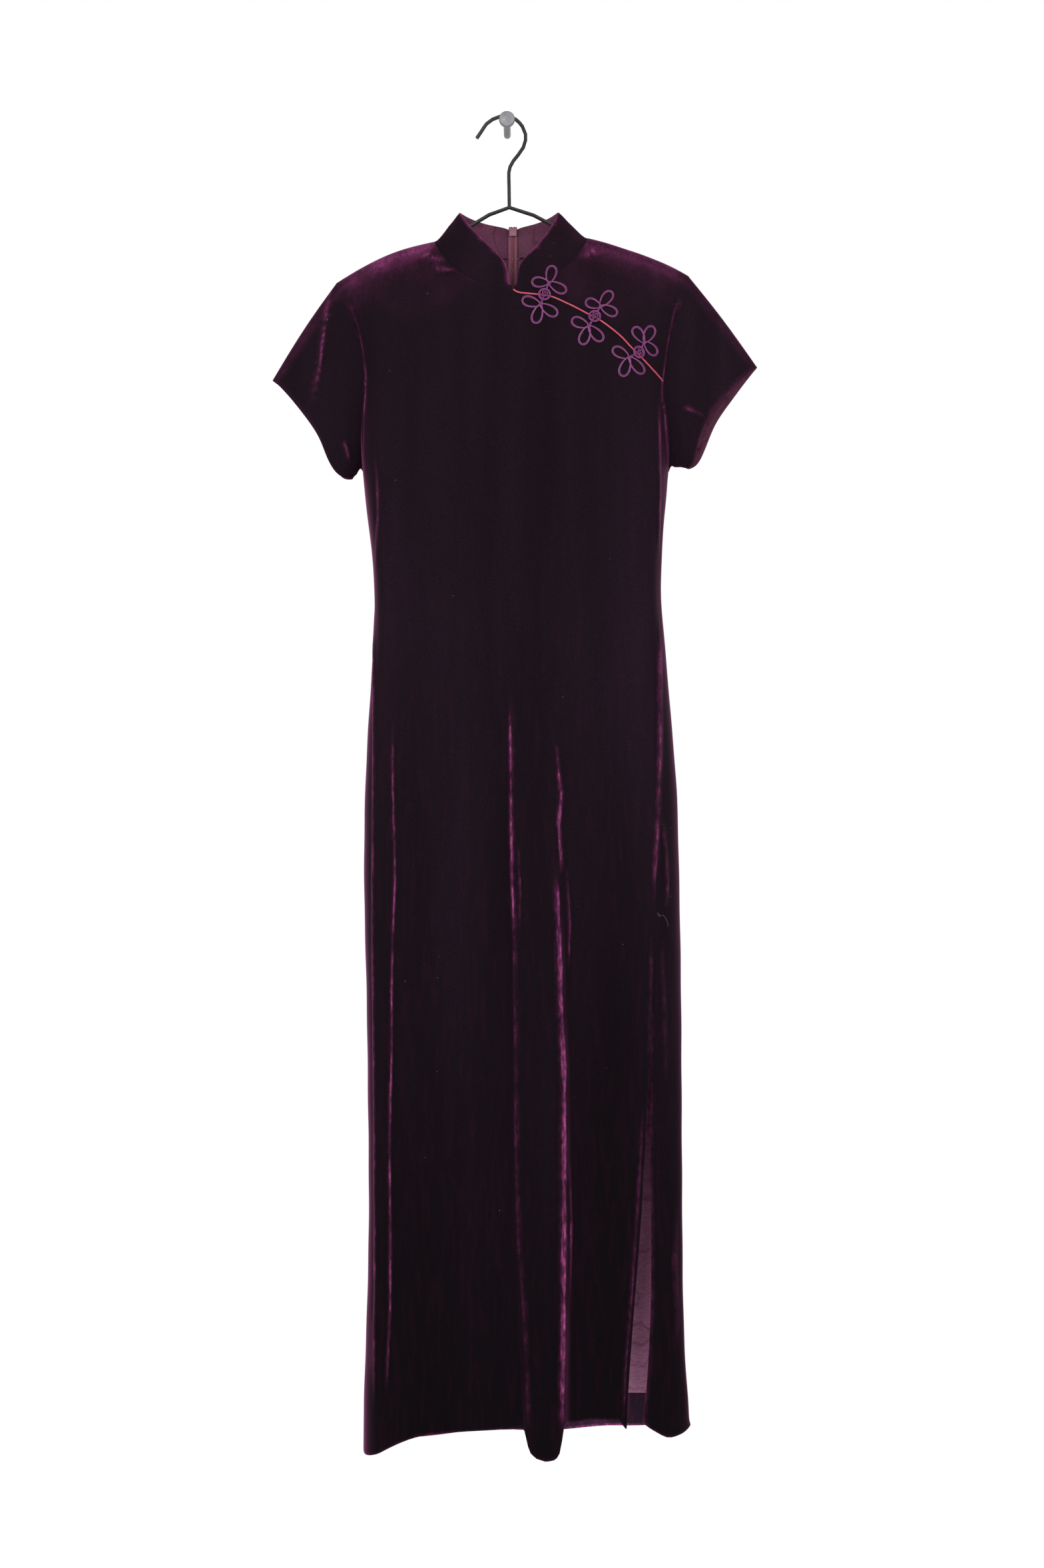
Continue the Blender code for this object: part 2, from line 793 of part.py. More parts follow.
def build_skin():
    skin = Skin()
    front = body_grid("front")
    back = body_grid("back")
    split = sum(BACK_COUNTS[:3])
    neck_right = sum(BACK_COUNTS[:2])
    neck_left = sum(BACK_COUNTS[:4])
    skin.add("front", "front", front)
    skin.add("back_right", "wrap", wrap_grid())
    skin.add("back_right", "back_right", [row[:split + 1] for row in back])
    skin.add("back_left", "back_left", [row[split:] for row in back])
    low = len(LOWER_ROWS) - 1
    left_front = [row[0] for row in front[low:]][::-1]
    left_back = [row[-1] for row in back[low:]][::-1]
    right_front = [row[-1] for row in front[low:]][::-1]
    right_back = [row[0] for row in back[low:]][::-1]
    left = sleeve_grid(left_front, left_back, CUFF_LEFT, 4.0)
    skin.add("sleeve_left", "sleeve_left", left[::-1])
    right = sleeve_grid(right_front, right_back, CUFF_RIGHT, 3.0)
    skin.add("sleeve_right", "sleeve_right", right)
    first = FRONT_COUNTS[0]
    middle = sum(FRONT_COUNTS[:3])
    last = sum(FRONT_COUNTS[:6])
    front_top = front[-1]
    back_top = back[-1]
    left_front_rows = collar_rows(front_top[first:middle + 1], COLLAR_FRONT)
    set_front_edge(left_front_rows, -1, SLIT_LEFT, 7.1)
    left_back_rows = collar_rows(back_top[split:neck_left + 1], COLLAR_BACK)
    right_front_rows = collar_rows(front_top[middle:last + 1], COLLAR_FRONT)
    set_front_edge(right_front_rows, 0, SLIT_RIGHT, 7.2)
    right_back_rows = collar_rows(back_top[neck_right:split + 1], COLLAR_BACK)
    left_rows = [b[:-1] + f for b, f in zip(left_back_rows, left_front_rows)]
    right_rows = [f[:-1] + b for f, b in zip(right_front_rows, right_back_rows)]
    skin.add("collar_left", "collar_left", left_rows)
    skin.add("collar_right", "collar_right", right_rows)
    part_along_placket(skin)
    skin.find_normals()
    return skin


def set_front_edge(rows, column, middle, base_x):
    """Runs the end column of a collar half along its edge of the slit, up to the edge's top."""
    values = [COLLAR_FRONT.at(key, base_x) for key in ("x", "depth", "z")]
    top = Vector((values[0], HANG_Y - values[1], values[2]))
    base = rows[0][column]
    for n, row in enumerate(rows):
        row[column] = base.lerp(top, n / (len(rows) - 1))
    for row, (x, z) in zip(rows[1:-1], middle):
        row[column].x = x
        row[column].z = z


def build_panels(skin, velvet):
    """One velvet wall for each panel of the skin."""
    zip_points = {rows[0] for rows in skin.grids["collar_left"]}
    zip_points |= {rows[-1] for rows in skin.grids["collar_right"]}
    underarms = {skin.grids["front"][len(LOWER_ROWS) - 1][n] for n in (0, -1)}
    for panel, faces in skin.panels.items():
        wide = zip_points if panel.startswith("collar") else underarms
        widest = ZIP_GAP / 2

        def gap(n, wide=wide, widest=widest):
            return widest if n in wide else SEAM_GAP / 2
        cloth_wall(panel, skin.points, skin.normals, faces, 0.0, VELVET, gap, velvet)


class Surface:
    """The outer face of the front, to lay trims on."""

    def __init__(self, skin):
        faces = []
        for panel in ("front_panel", "front_yoke", "collar_right", "sleeve_right"):
            faces += skin.panels[panel]
        self.tree = BVHTree.FromPolygons(skin.points, faces)

    def spot(self, x, z, lift):
        hit, normal, _, _ = self.tree.ray_cast(Vector((x, -300, z)), Vector((0, 1, 0)))
        return hit + normal * lift, normal


PLACKET_SNAP = 1.5
PLACKET = [
    (7.2, -196.3), (13.9, -199.7), (31.0, -201.6), (49.5, -204.3), (70.2, -213.6), (90.1, -224.0),
    (105.7, -232.8), (125.6, -248.7), (137.5, -261.0), (150.9, -273.6), (162.3, -284.1), (175.2, -296.0),
]


def placket_path(step):
    flat = [Vector((x, 0, z)) for x, z in PLACKET]
    return through(flat, step)


def above_placket(path, spot):
    """Height of a spot above the placket's line; left of its start everything is below it."""
    first, last = path[0], path[-1]
    if spot.x <= first.x:
        return spot.z - first.z - 4 * (first.x - spot.x)
    for a, b in zip(path, path[1:]):
        if spot.x <= b.x:
            return spot.z - mix(a.z, b.z, (spot.x - a.x) / (b.x - a.x))
    return spot.z - last.z + 0.9 * (spot.x - last.x)


def part_along_placket(skin):
    """Share out the front's faces between the main front and the yoke above the placket."""
    path = placket_path(6)
    heights = {}
    for face in skin.panels["front"]:
        for n in face:
            height = above_placket(path, skin.points[n])
            heights[n] = 0.0 if abs(height) < PLACKET_SNAP else height
    crossings = {}

    def crossing(a, b):
        key = (min(a, b), max(a, b))
        if key not in crossings:
            low, high = (skin.points[n] for n in key)
            side = heights[key[0]] > 0
            near, far = 0.0, 1.0
            for _ in range(20):
                middle = (near + far) / 2
                if (above_placket(path, low.lerp(high, middle)) > 0) == side:
                    near = middle
                else:
                    far = middle
            crossings[key] = skin.number(low.lerp(high, near))
            heights[crossings[key]] = 0.0
        return crossings[key]

    for face in skin.panels.pop("front"):
        ring = []
        for a, b in zip(face, face[1:] + face[:1]):
            ring.append(a)
            if heights[a] * heights[b] < 0:
                ring.append(crossing(a, b))
        for panel, sign in (("front_panel", -1), ("front_yoke", 1)):
            piece = [n for n in ring if heights[n] * sign >= 0]
            if len(piece) > 2 and any(heights[n] for n in piece):
                skin.panels.setdefault(panel, []).append(piece)


def build_piping(surface, cord):
    path = placket_path(5)[:-1]
    spots = [surface.spot(p.x, p.z, PIPING_R + 0.5) for p in path]
    bm = sweep([s for s, _ in spots], [n for _, n in spots], PIPING_R, 5)
    return make_object("placket_piping", bm, cord, 40)


# Each half of a fastening: centre of its flower, and angle and length of its three petals
FLOWERS = [
    {"name": "frog_1_loop", "knot": (41.7, -202.6), "centre": (46.5, -188.8),
     "petals": [(77, 22.5), (175, 19.5), (-26, 22.5)]},
    {"name": "frog_1_knot", "knot": (41.7, -202.6), "centre": (37.4, -214.0),
     "petals": [(162, 22.0), (-107, 22.5), (-31, 22.5)]},
    {"name": "frog_2_loop", "knot": (97.5, -227.7), "centre": (104.2, -215.4),
     "petals": [(158, 18.5), (56, 23.0), (-25, 21.0)]},
    {"name": "frog_2_knot", "knot": (97.5, -227.7), "centre": (90.8, -238.5),
     "petals": [(157, 21.0), (-111, 22.5), (-46, 23.0)]},
    {"name": "frog_3_loop", "knot": (145.6, -267.0), "centre": (152.2, -255.0),
     "petals": [(124, 20.5), (60, 22.5), (-38, 19.5)]},
    {"name": "frog_3_knot", "knot": (145.6, -267.0), "centre": (135.1, -273.5),
     "petals": [(150, 21.0), (-110, 23.0), (-44, 24.0)]},
]
PETAL_W = 10.5
CORD_LIFT = 0.7
PETAL_STEP = 0.17


def petal_path(surface, centre, angle, length, rise):
    path = []
    ups = []
    count = 9
    cos, sin = math.cos(math.radians(angle)), math.sin(math.radians(angle))
    for n in range(count):
        turn = math.tau * n / count
        share = (1 - math.cos(turn)) / 2
        along = (length - CORD_R) * share
        across = PETAL_W / 2 * math.sin(turn) * mix(0.78, 1.0, share)
        x = centre[0] + along * cos - across * sin
        z = centre[1] + along * sin + across * cos
        spot, normal = surface.spot(x, z, CORD_R + CORD_LIFT + rise)
        path.append(spot)
        ups.append(normal)
    return path, ups


def round_button(middle, up, radius, height, sides=8):
    """A low round knot with rounded shoulders."""
    bm = bmesh.new()
    side = up.orthogonal().normalized()
    other = up.cross(side)
    rings = []
    for level, share in ((-1.0, 0.6), (-0.4, 1.0), (0.4, 1.0), (1.0, 0.6)):
        ring = []
        for k in range(sides):
            angle = math.tau * k / sides
            out = (math.cos(angle) * side + math.sin(angle) * other) * radius * share
            ring.append(bm.verts.new(middle + out + up * height / 2 * level))
        rings.append(ring)
    for low, high in zip(rings, rings[1:]):
        for k in range(sides):
            bm.faces.new([low[k], low[(k + 1) % sides], high[(k + 1) % sides], high[k]])
    bm.faces.new(rings[0])
    bm.faces.new(rings[-1])
    bmesh.ops.recalc_face_normals(bm, faces=bm.faces)
    return bm


def build_flower(surface, flower, cord):
    """One half of a fastening: three cord petals, and the loop ring or the knot ball."""
    pieces = []
    centre = flower["centre"]
    for n, (angle, length) in enumerate(flower["petals"]):
        path, ups = petal_path(surface, centre, angle, length, n * PETAL_STEP)
        pieces.append(sweep(path, ups, CORD_R, 4, closed=True))
    middle, up = surface.spot(*centre, CORD_R + CORD_LIFT)
    pieces.append(round_button(middle, up, BUTTON_R, 2 * CORD_R))
    knot, knot_up = surface.spot(*flower["knot"], 0.0)
    away = (middle - knot)
    away = (away - knot_up * away.dot(knot_up)).normalized()
    if flower["name"].endswith("loop"):
        side = knot_up.cross(away)
        ring = []
        for n in range(10):
            angle = math.tau * n / 10
            around = math.cos(angle) * away + math.sin(angle) * side
            ring.append(knot + knot_up * RING_RISE + around * RING_R)
        pieces.append(sweep(ring, [knot_up] * len(ring), CORD_R, 5, closed=True))
        stem = [middle, knot + away * RING_R + knot_up * RING_RISE]
        pieces.append(sweep(stem, [up, knot_up], CORD_R * 0.9, 5))
    else:
        ball = knot + knot_up * (RING_RISE + 1.4)
        pieces.append(round_button(ball, knot_up, BALL_R, 5.0))
        low = 1.15
        stem = [
            middle - up * 0.4,
            knot + away * 6.5 + knot_up * low,
            knot + away * 3.0 + knot_up * low,
            knot + away * 2.3 + knot_up * (RING_RISE + 0.6),
        ]
        pieces.append(sweep(stem, [up, knot_up, knot_up, away], 0.8, 5))
    return united(flower["name"], pieces, cord)


HOOK = [
    (-34.1, -18.9), (-28.9, -11.2), (-22.9, -2.4), (-16.1, 2.6), (-7.9, 5.7), (1.1, 6.6),
    (10.1, 2.3), (17.3, -5.4), (20.9, -14.4), (20.9, -20.9), (18.4, -29.1), (13.1, -36.9),
    (7.1, -44.4), (3.4, -51.2), (2.1, -57.5), (2.3, -72.9), (2.6, -97.0),
]
HANGER_LEFT_X = -183.0
HANGER_RIGHT_X = 194.0
BAR_Z = -212.0


def build_hanger(wire):
    """Bent wire: the hook, the two arms under the shoulder seams and the bar between them."""
    flat = Vector((0, -1, 0))
    hook = through([Vector((x, HANG_Y, z)) for x, z in HOOK], 7)
    apex = Vector((2.6, HANG_Y, -94.7 - WIRE_R))
    loop = [apex]
    for x in (30, 50, 70, NECK_RIGHT_X, 108, 130, 155, 180):
        loop.append(Vector((x, HANG_Y, SHOULDER.at("z", x) - WIRE_UNDER_RIDGE)))
    end = SHOULDER.at("z", HANGER_RIGHT_X) - WIRE_UNDER_RIDGE
    loop.append(Vector((HANGER_RIGHT_X - 3, HANG_Y, end - 2)))
    loop.append(Vector((HANGER_RIGHT_X, HANG_Y, end - 9)))
    loop.append(Vector((HANGER_RIGHT_X - 2, HANG_Y, BAR_Z + 10)))
    loop.append(Vector((HANGER_RIGHT_X - 9, HANG_Y, BAR_Z + 2)))
    loop.append(Vector((HANGER_RIGHT_X - 18, HANG_Y, BAR_Z)))
    loop.append(Vector((HANGER_LEFT_X + 18, HANG_Y, BAR_Z)))
    loop.append(Vector((HANGER_LEFT_X + 9, HANG_Y, BAR_Z + 2)))
    loop.append(Vector((HANGER_LEFT_X + 2, HANG_Y, BAR_Z + 9)))
    end = SHOULDER.at("z", HANGER_LEFT_X) - WIRE_UNDER_RIDGE
    loop.append(Vector((HANGER_LEFT_X, HANG_Y, end - 9)))
    loop.append(Vector((HANGER_LEFT_X + 3, HANG_Y, end - 1)))
    for x in (-168, -145, -120, -98, NECK_LEFT_X, -60, -40, -20):
        loop.append(Vector((x, HANG_Y, SHOULDER.at("z", x) - WIRE_UNDER_RIDGE)))
    triangle = sweep(loop, [flat] * len(loop), WIRE_R, 8, closed=True)
    stem = sweep(hook, [flat] * len(hook), WIRE_R, 8)
    return united("hanger", [triangle, stem], wire)


def build_peg(paint):
    """Turned peg: a shaft out of the wall and a flat round head."""
    profile = [
        (PEG_SHAFT_R, 0), (PEG_SHAFT_R, PEG_HEAD_Y + 1.5), (PEG_HEAD_R - 1.5, PEG_HEAD_Y),
        (PEG_HEAD_R, PEG_HEAD_Y - 1.2), (PEG_HEAD_R, PEG_FRONT_Y + 1.2), (PEG_HEAD_R - 1.2, PEG_FRONT_Y),
    ]
    sides = 24
    bm = bmesh.new()
    rings = []
    for radius, y in profile:
        ring = []
        for k in range(sides):
            angle = math.tau * k / sides
            ring.append(bm.verts.new((radius * math.cos(angle), y, radius * math.sin(angle))))
        rings.append(ring)
    for low, high in zip(rings, rings[1:]):
        for k in range(sides):
            bm.faces.new([low[k], low[(k + 1) % sides], high[(k + 1) % sides], high[k]])
    bm.faces.new(rings[0])
    bm.faces.new(rings[-1])
    bmesh.ops.recalc_face_normals(bm, faces=bm.faces)
    return make_object("wall_peg", bm, paint, 40)


def box(low, high):
    bm = bmesh.new()
    bmesh.ops.create_cube(bm, size=1.0)
    for vert in bm.verts:
        for axis in range(3):
            vert.co[axis] = high[axis] if vert.co[axis] > 0 else low[axis]
    return bm


def rod_x(x0, x1, y, z, radius, sides=16):
    """A round rod along X."""
    path = [Vector((x0, y, z)), Vector((x1, y, z))]
    return sweep(path, [Vector((0, 0, 1))] * 2, radius, sides)


def zip_column(skin, side):
    """Points of the zip's line from the collar's edge down, with the way to the tape's side."""
    if side == "left":
        collar = [(row[0], row[1]) for row in skin.grids["collar_left"]]
        body = [(row[0], row[1]) for row in skin.grids["back_left"]]
    else:
        collar = [(row[-1], row[-2]) for row in skin.grids["collar_right"]]
        body = [(row[-1], row[-2]) for row in skin.grids["back_right"]]
    pairs = body[:-1] + collar
    return [(a, b) for a, b in pairs if skin.points[a].z > ZIP_END_Z]


def build_tape(skin, side, cloth):
    """Zip tape on the inside of the back, beside its centre line."""
    points = []
    normals = []
    for edge, neighbour in zip_column(skin, side):
        aside = skin.points[neighbour] - skin.points[edge]
        aside.z = 0
        aside.normalize()
        for reach in (ZIP_GAP / 2, TAPE_W):
            points.append(skin.points[edge] + aside * reach)
            normals.append(skin.normals[edge])
    numbers = [[2 * n, 2 * n + 1] for n in range(len(points) // 2)]
    if side == "right":
        numbers = [[b, a] for a, b in numbers]
    near = VELVET + LINING_GAP
    name = "zip_tape_" + side
    return cloth_wall(name, points, normals, cells(numbers), -near, near + TAPE, lambda n: 0.0, cloth)


def build_slider(steel):
    """Slider: a body inside, a web through the zip's gap, a plate outside and two ears with a pin."""
    x = CENTRE_BACK_X
    inner = COLLAR_BACK_Y - VELVET - TAPE - LINING_GAP - SEAM_GAP - TEETH_DEPTH
    web = ZIP_GAP / 2 - SEAM_GAP
    plate_y = COLLAR_BACK_Y + SEAM_GAP
    axis_y = plate_y + PLATE_DEPTH + PULL_EYE_R + PIN_CLEARANCE
    low = SLIDER_Z - SLIDER_HALF_LENGTH
    high = SLIDER_Z + SLIDER_HALF_LENGTH
    bite = PLATE_DEPTH / 2
    pieces = [
        box((x - SLIDER_HALF_WIDTH, inner - SLIDER_DEPTH, low), (x + SLIDER_HALF_WIDTH, inner, high)),
        box((x - web, inner - bite, low + 2 * bite), (x + web, plate_y + bite, high - bite)),
        box((x - EAR_OUT, plate_y, low + bite), (x + EAR_OUT, plate_y + PLATE_DEPTH, high - bite / 2)),
    ]
    for sign in (-1, 1):
        near, far = sorted((x + sign * EAR_IN, x + sign * (EAR_OUT - PIN_CLEARANCE)))
        pieces.append(box(
            (near, plate_y + bite, SLIDER_Z - EAR_HALF), (far, axis_y + EAR_HALF, SLIDER_Z + EAR_HALF)
        ))
    pieces.append(rod_x(x - EAR_IN - bite, x + EAR_IN + bite, axis_y, SLIDER_Z, PIN_R, 10))
    return united("zip_slider", pieces, steel), Vector((x, axis_y, SLIDER_Z))


def build_pull(axis, steel):
    """Pull tab with an eye round the slider's pin, hanging down the outside."""
    sides = 14
    bm = bmesh.new()
    rings = []
    for x in (axis.x - PULL_EYE_HALF, axis.x + PULL_EYE_HALF):
        for radius in (PIN_R + PIN_RUNNING, PULL_EYE_R):
            ring = []
            for k in range(sides):
                angle = math.tau * k / sides
                ring.append(bm.verts.new((
                    x, axis.y + radius * math.cos(angle), axis.z + radius * math.sin(angle)
                )))
            rings.append(ring)
    for a, b in ((0, 1), (1, 3), (3, 2), (2, 0)):
        for k in range(sides):
            m = (k + 1) % sides
            bm.faces.new([rings[a][k], rings[a][m], rings[b][m], rings[b][k]])
    bmesh.ops.recalc_face_normals(bm, faces=bm.faces)
    half = PULL_DEPTH / 2
    neck = box(
        (axis.x - NECK_HALF, axis.y - half, axis.z - 2 * PULL_EYE_R),
        (axis.x + NECK_HALF, axis.y + half, axis.z - NECK_HALF),
    )
    tab = bmesh.new()
    outline = []
    for n in range(9):
        angle = math.pi * (1 + n / 8)
        x = axis.x + PULL_END_R * math.cos(angle)
        outline.append((x, axis.z - PULL_LENGTH + PULL_END_R * math.sin(angle)))
    top = axis.z - PULL_EYE_R - NECK_HALF
    outline += [(axis.x + PULL_TOP_HALF, top), (axis.x - PULL_TOP_HALF, top)]
    low = [tab.verts.new((x, axis.y - half, z)) for x, z in outline]
    high = [tab.verts.new((x, axis.y + half, z)) for x, z in outline]
    tab.faces.new(low)
    tab.faces.new(high)
    for n in range(len(outline)):
        m = (n + 1) % len(outline)
        tab.faces.new([low[n], low[m], high[m], high[n]])
    bmesh.ops.recalc_face_normals(tab, faces=tab.faces)
    return united("zip_pull", [bm, neck, tab], steel)


def lining_wall(skin, name, grid, cloth, shift_column=None, margin=2.0):
    """A thin wall just inside the velvet, over part of a grid."""
    points = list(skin.points)
    normals = list(skin.normals)
    numbers = [list(row) for row in grid]
    if shift_column is not None:
        for row in numbers:
            edge = row[shift_column]
            neighbour = row[1] if shift_column == 0 else row[-2]
            aside = skin.points[neighbour] - skin.points[edge]
            aside.normalize()
            points.append(skin.points[edge] + aside * (TAPE_W + SEAM_GAP + margin))
            normals.append(skin.normals[edge])
            row[shift_column] = len(points) - 1
    faces = cells(numbers)
    near = VELVET + LINING_GAP
    return cloth_wall(name, points, normals, faces, -near, near + LINING, lambda n: margin, cloth)


def build_linings(skin, satin):
    low = len(LOWER_ROWS) + 3
    for name, column in (("left", 0), ("right", -1)):
        grid = skin.grids["back_" + name][low:-len(RIDGE_ANGLES)]
        if name == "left":
            rows = [row[:-2] for row in grid]
        else:
            rows = [row[3:] for row in grid]
        lining_wall(skin, "lining_back_" + name, rows, satin, column)
    top = LOWER_ROWS.index(SLIT_TOP) + 1
    wrap = skin.grids["wrap"][2:top]
    back = skin.grids["back_right"][2:top]
    rows = [a[:-1] + b for a, b in zip(wrap, back)]
    lining_wall(skin, "lining_skirt", rows, satin)
    ring = skin.grids["sleeve_right"][2:]
    half = len(ring[0]) // 2
    rows = [row[half + 2:-5] for row in ring]
    lining_wall(skin, "lining_sleeve_right", rows, satin, margin=4.0)


def clear_scene():
    for item in list(bpy.data.objects):
        bpy.data.objects.remove(item)


def main():
    clear_scene()
    velvet = make_material("velvet", (0.045, 0.012, 0.035), 0.75)
    satin = make_material("lining", (0.12, 0.04, 0.09), 0.45)
    cord = make_material("cord", (0.29, 0.06, 0.25), 0.35)
    piping = make_material("piping", (0.55, 0.06, 0.14), 0.4)
    tape = make_material("zip_tape", (0.18, 0.06, 0.08), 0.7)
    metal = make_material("zip_metal", (0.28, 0.10, 0.16), 0.35, 0.3)
    wire = make_material("wire", (0.01, 0.01, 0.012), 0.25, 0.5)
    paint = make_material("peg_paint", (0.22, 0.22, 0.24), 0.4)
    skin = build_skin()
    build_panels(skin, velvet)
    surface = Surface(skin)
    build_piping(surface, piping)
    for flower in FLOWERS:
        build_flower(surface, flower, cord)
    for side in ("left", "right"):
        build_tape(skin, side, tape)
    _, axis = build_slider(metal)
    build_pull(axis, metal)
    build_linings(skin, satin)
    build_hanger(wire)
    build_peg(paint)


main()
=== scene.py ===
"""Looks of the velvet maxi dress on its wire hanger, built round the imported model.

Lengths in the tables are millimetres and are turned into metres where they are used. x and z
are measured from the peg's axis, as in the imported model, and the front looks towards -Y.
"""
import math

import bmesh
import bpy
import numpy as np
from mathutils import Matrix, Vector
from mathutils.bvhtree import BVHTree
from mathutils.kdtree import KDTree


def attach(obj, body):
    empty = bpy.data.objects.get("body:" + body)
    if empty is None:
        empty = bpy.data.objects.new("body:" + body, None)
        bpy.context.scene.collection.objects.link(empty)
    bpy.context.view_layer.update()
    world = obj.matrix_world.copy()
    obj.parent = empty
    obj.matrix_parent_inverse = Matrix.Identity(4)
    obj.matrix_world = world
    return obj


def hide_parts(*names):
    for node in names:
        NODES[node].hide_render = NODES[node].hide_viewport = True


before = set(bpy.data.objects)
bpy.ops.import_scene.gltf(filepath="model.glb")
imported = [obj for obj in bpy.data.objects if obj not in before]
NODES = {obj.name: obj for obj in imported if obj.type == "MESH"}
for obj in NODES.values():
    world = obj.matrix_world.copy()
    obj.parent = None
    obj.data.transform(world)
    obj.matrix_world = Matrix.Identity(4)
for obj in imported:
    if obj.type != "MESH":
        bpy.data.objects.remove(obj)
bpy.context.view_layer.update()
SCENE = bpy.context.scene

MM = 0.001
HANG_Y = -52.0
VELVET = 2.0
LINING = 1.0
CENTRE_X = 13.0
CENTRE_BACK_X = 6.5

# Camera
CAMERA_AT = (16.9, -2502.0, -746.4)
FRAME_HEIGHT = 1767.0
FRAME_DISTANCE = 2450.0
SENSOR = 36.0

# Room
FLOOR_Z = -2000.0
FLOOR_HALF = 900.0


def metres(*values):
    return Vector(values) * MM


def make_camera():
    data = bpy.data.cameras.new("camera")
    data.sensor_fit = "VERTICAL"
    data.sensor_height = SENSOR
    data.lens = SENSOR * FRAME_DISTANCE / FRAME_HEIGHT
    camera = bpy.data.objects.new("camera", data)
    camera.location = metres(*CAMERA_AT)
    camera.rotation_euler = (math.radians(90), 0, 0)
    SCENE.collection.objects.link(camera)
    SCENE.camera = camera


class Nodes:
    """A material's node tree, with short calls to add nodes and join them."""

    def __init__(self, name):
        self.material = bpy.data.materials.new(name)
        self.material.use_nodes = True
        self.tree = self.material.node_tree
        self.shader = self.tree.nodes["Principled BSDF"]
        self.place = self.add("ShaderNodeTexCoord").outputs["Object"]

    def add(self, kind, **settings):
        node = self.tree.nodes.new(kind)
        for key, value in settings.items():
            setattr(node, key, value)
        return node

    def join(self, output, socket):
        self.tree.links.new(output, socket)

    def set(self, **values):
        for key, value in values.items():
            self.shader.inputs[key.replace("_", " ")].default_value = value

    def stretched(self, x, y, z):
        node = self.add("ShaderNodeMapping")
        node.inputs["Scale"].default_value = (x, y, z)
        self.join(self.place, node.inputs["Vector"])
        return node.outputs["Vector"]

    def noise(self, scale, detail=2.0, place=None):
        node = self.add("ShaderNodeTexNoise")
        node.inputs["Scale"].default_value = scale
        node.inputs["Detail"].default_value = detail
        self.join(place or self.place, node.inputs["Vector"])
        return node.outputs["Fac"]

    def ramp(self, value, *stops):
        """Colours along a value: each stop is (position, colour)."""
        node = self.add("ShaderNodeValToRGB")
        elements = node.color_ramp.elements
        while len(elements) < len(stops):
            elements.new(0.5)
        for element, (position, colour) in zip(elements, stops):
            element.position = position
            element.color = (*colour, 1.0)
        self.join(value, node.inputs["Fac"])
        return node.outputs["Color"]

    def mix(self, share, first, second, kind="MIX"):
        """Sockets 6 and 7 and output 2 are the node's colours."""
        node = self.add("ShaderNodeMix", data_type="RGBA", blend_type=kind)
        for value, socket in ((share, 0), (first, 6), (second, 7)):
            if isinstance(value, (float, tuple)):
                node.inputs[socket].default_value = value
            else:
                self.join(value, node.inputs[socket])
        return node.outputs[2]

    def bump(self, height, strength, distance):
        """Adds a bump over those that the shader already has."""
        node = self.add("ShaderNodeBump")
        node.inputs["Strength"].default_value = strength
        node.inputs["Distance"].default_value = distance * MM
        self.join(height, node.inputs["Height"])
        links = self.shader.inputs["Normal"].links
        if links:
            self.join(links[0].from_socket, node.inputs["Normal"])
        self.join(node.outputs["Normal"], self.shader.inputs["Normal"])

    def colour(self, output):
        self.join(output, self.shader.inputs["Base Color"])


NAP_LOW_Z = -700.0
NAP_HIGH_Z = -400.0
HEM_Z = -1480.0
TOP_Z = -140.0


def share_of_height(made, low, high):
    """0 at one height in the dress and 1 at the other."""
    place = made.add("ShaderNodeSeparateXYZ")
    made.join(made.place, place.inputs[0])
    share = made.add("ShaderNodeMapRange")
    share.inputs["From Min"].default_value = low * MM
    share.inputs["From Max"].default_value = high * MM
    made.join(place.outputs["Z"], share.inputs["Value"])
    return share.outputs["Result"]


# Colours of the velvet: its pile, painted shade by height, and painted sheen by slope and along creases,
# seams and shoulders
PILE = [(0.30, (0.0064, 0.0028, 0.0052)), (0.55, (0.0094, 0.0041, 0.0078)), (0.80, (0.0150, 0.0066, 0.0126))]
# Painted shade: multipliers by height, darker towards the hem and slightly lighter at the waist
PAINTED_SHADE_DOWN = [
    (0.0, (0.30, 0.34, 0.36)), (0.35, (0.66, 0.72, 0.76)), (0.68, (1.12, 1.16, 1.18)), (1.0, (1.0, 1.0, 1.0)),
]
# Painted sheen where the surface faces up, standing in for light falling from above
PAINTED_SHEEN_FACING_UP = [(0.20, (0.0, 0.0, 0.0)), (0.45, (0.010, 0.0015, 0.006)), (0.80, (0.040, 0.006, 0.024))]
# Painted sheen colours along creases, seams, shoulders and free edges
PAINTED_SHEEN_ALONG_LINES = [
    (0.06, (0.0, 0.0, 0.0)), (0.40, (0.018, 0.0026, 0.0105)), (0.75, (0.062, 0.0095, 0.037)),
    (1.0, (0.175, 0.036, 0.110)),
]
PATCHES = [(0.32, (0.45, 0.45, 0.45)), (0.66, (1.25, 1.25, 1.25))]
MOTTLES = [(0.34, (0.35, 0.35, 0.35)), (0.50, (0.95, 0.95, 0.95)), (0.64, (1.9, 1.9, 1.9))]
RED_STREAKS = [(0.50, (0.0, 0.0, 0.0)), (0.66, (0.0036, 0.0002, 0.0013))]
GRAINS = [(0.30, (0.45, 0.45, 0.45)), (0.70, (1.60, 1.55, 1.60))]
# Share of the mottle that goes, and of the red that stays, above NAP_HIGH_Z
EVEN_ABOVE = 0.6
RED_ABOVE = 0.15
LINT_COLOUR = (0.22, 0.15, 0.19, 1.0)
LINT_SCALE = 95.0


def grey(value):
    return (value, value, value)


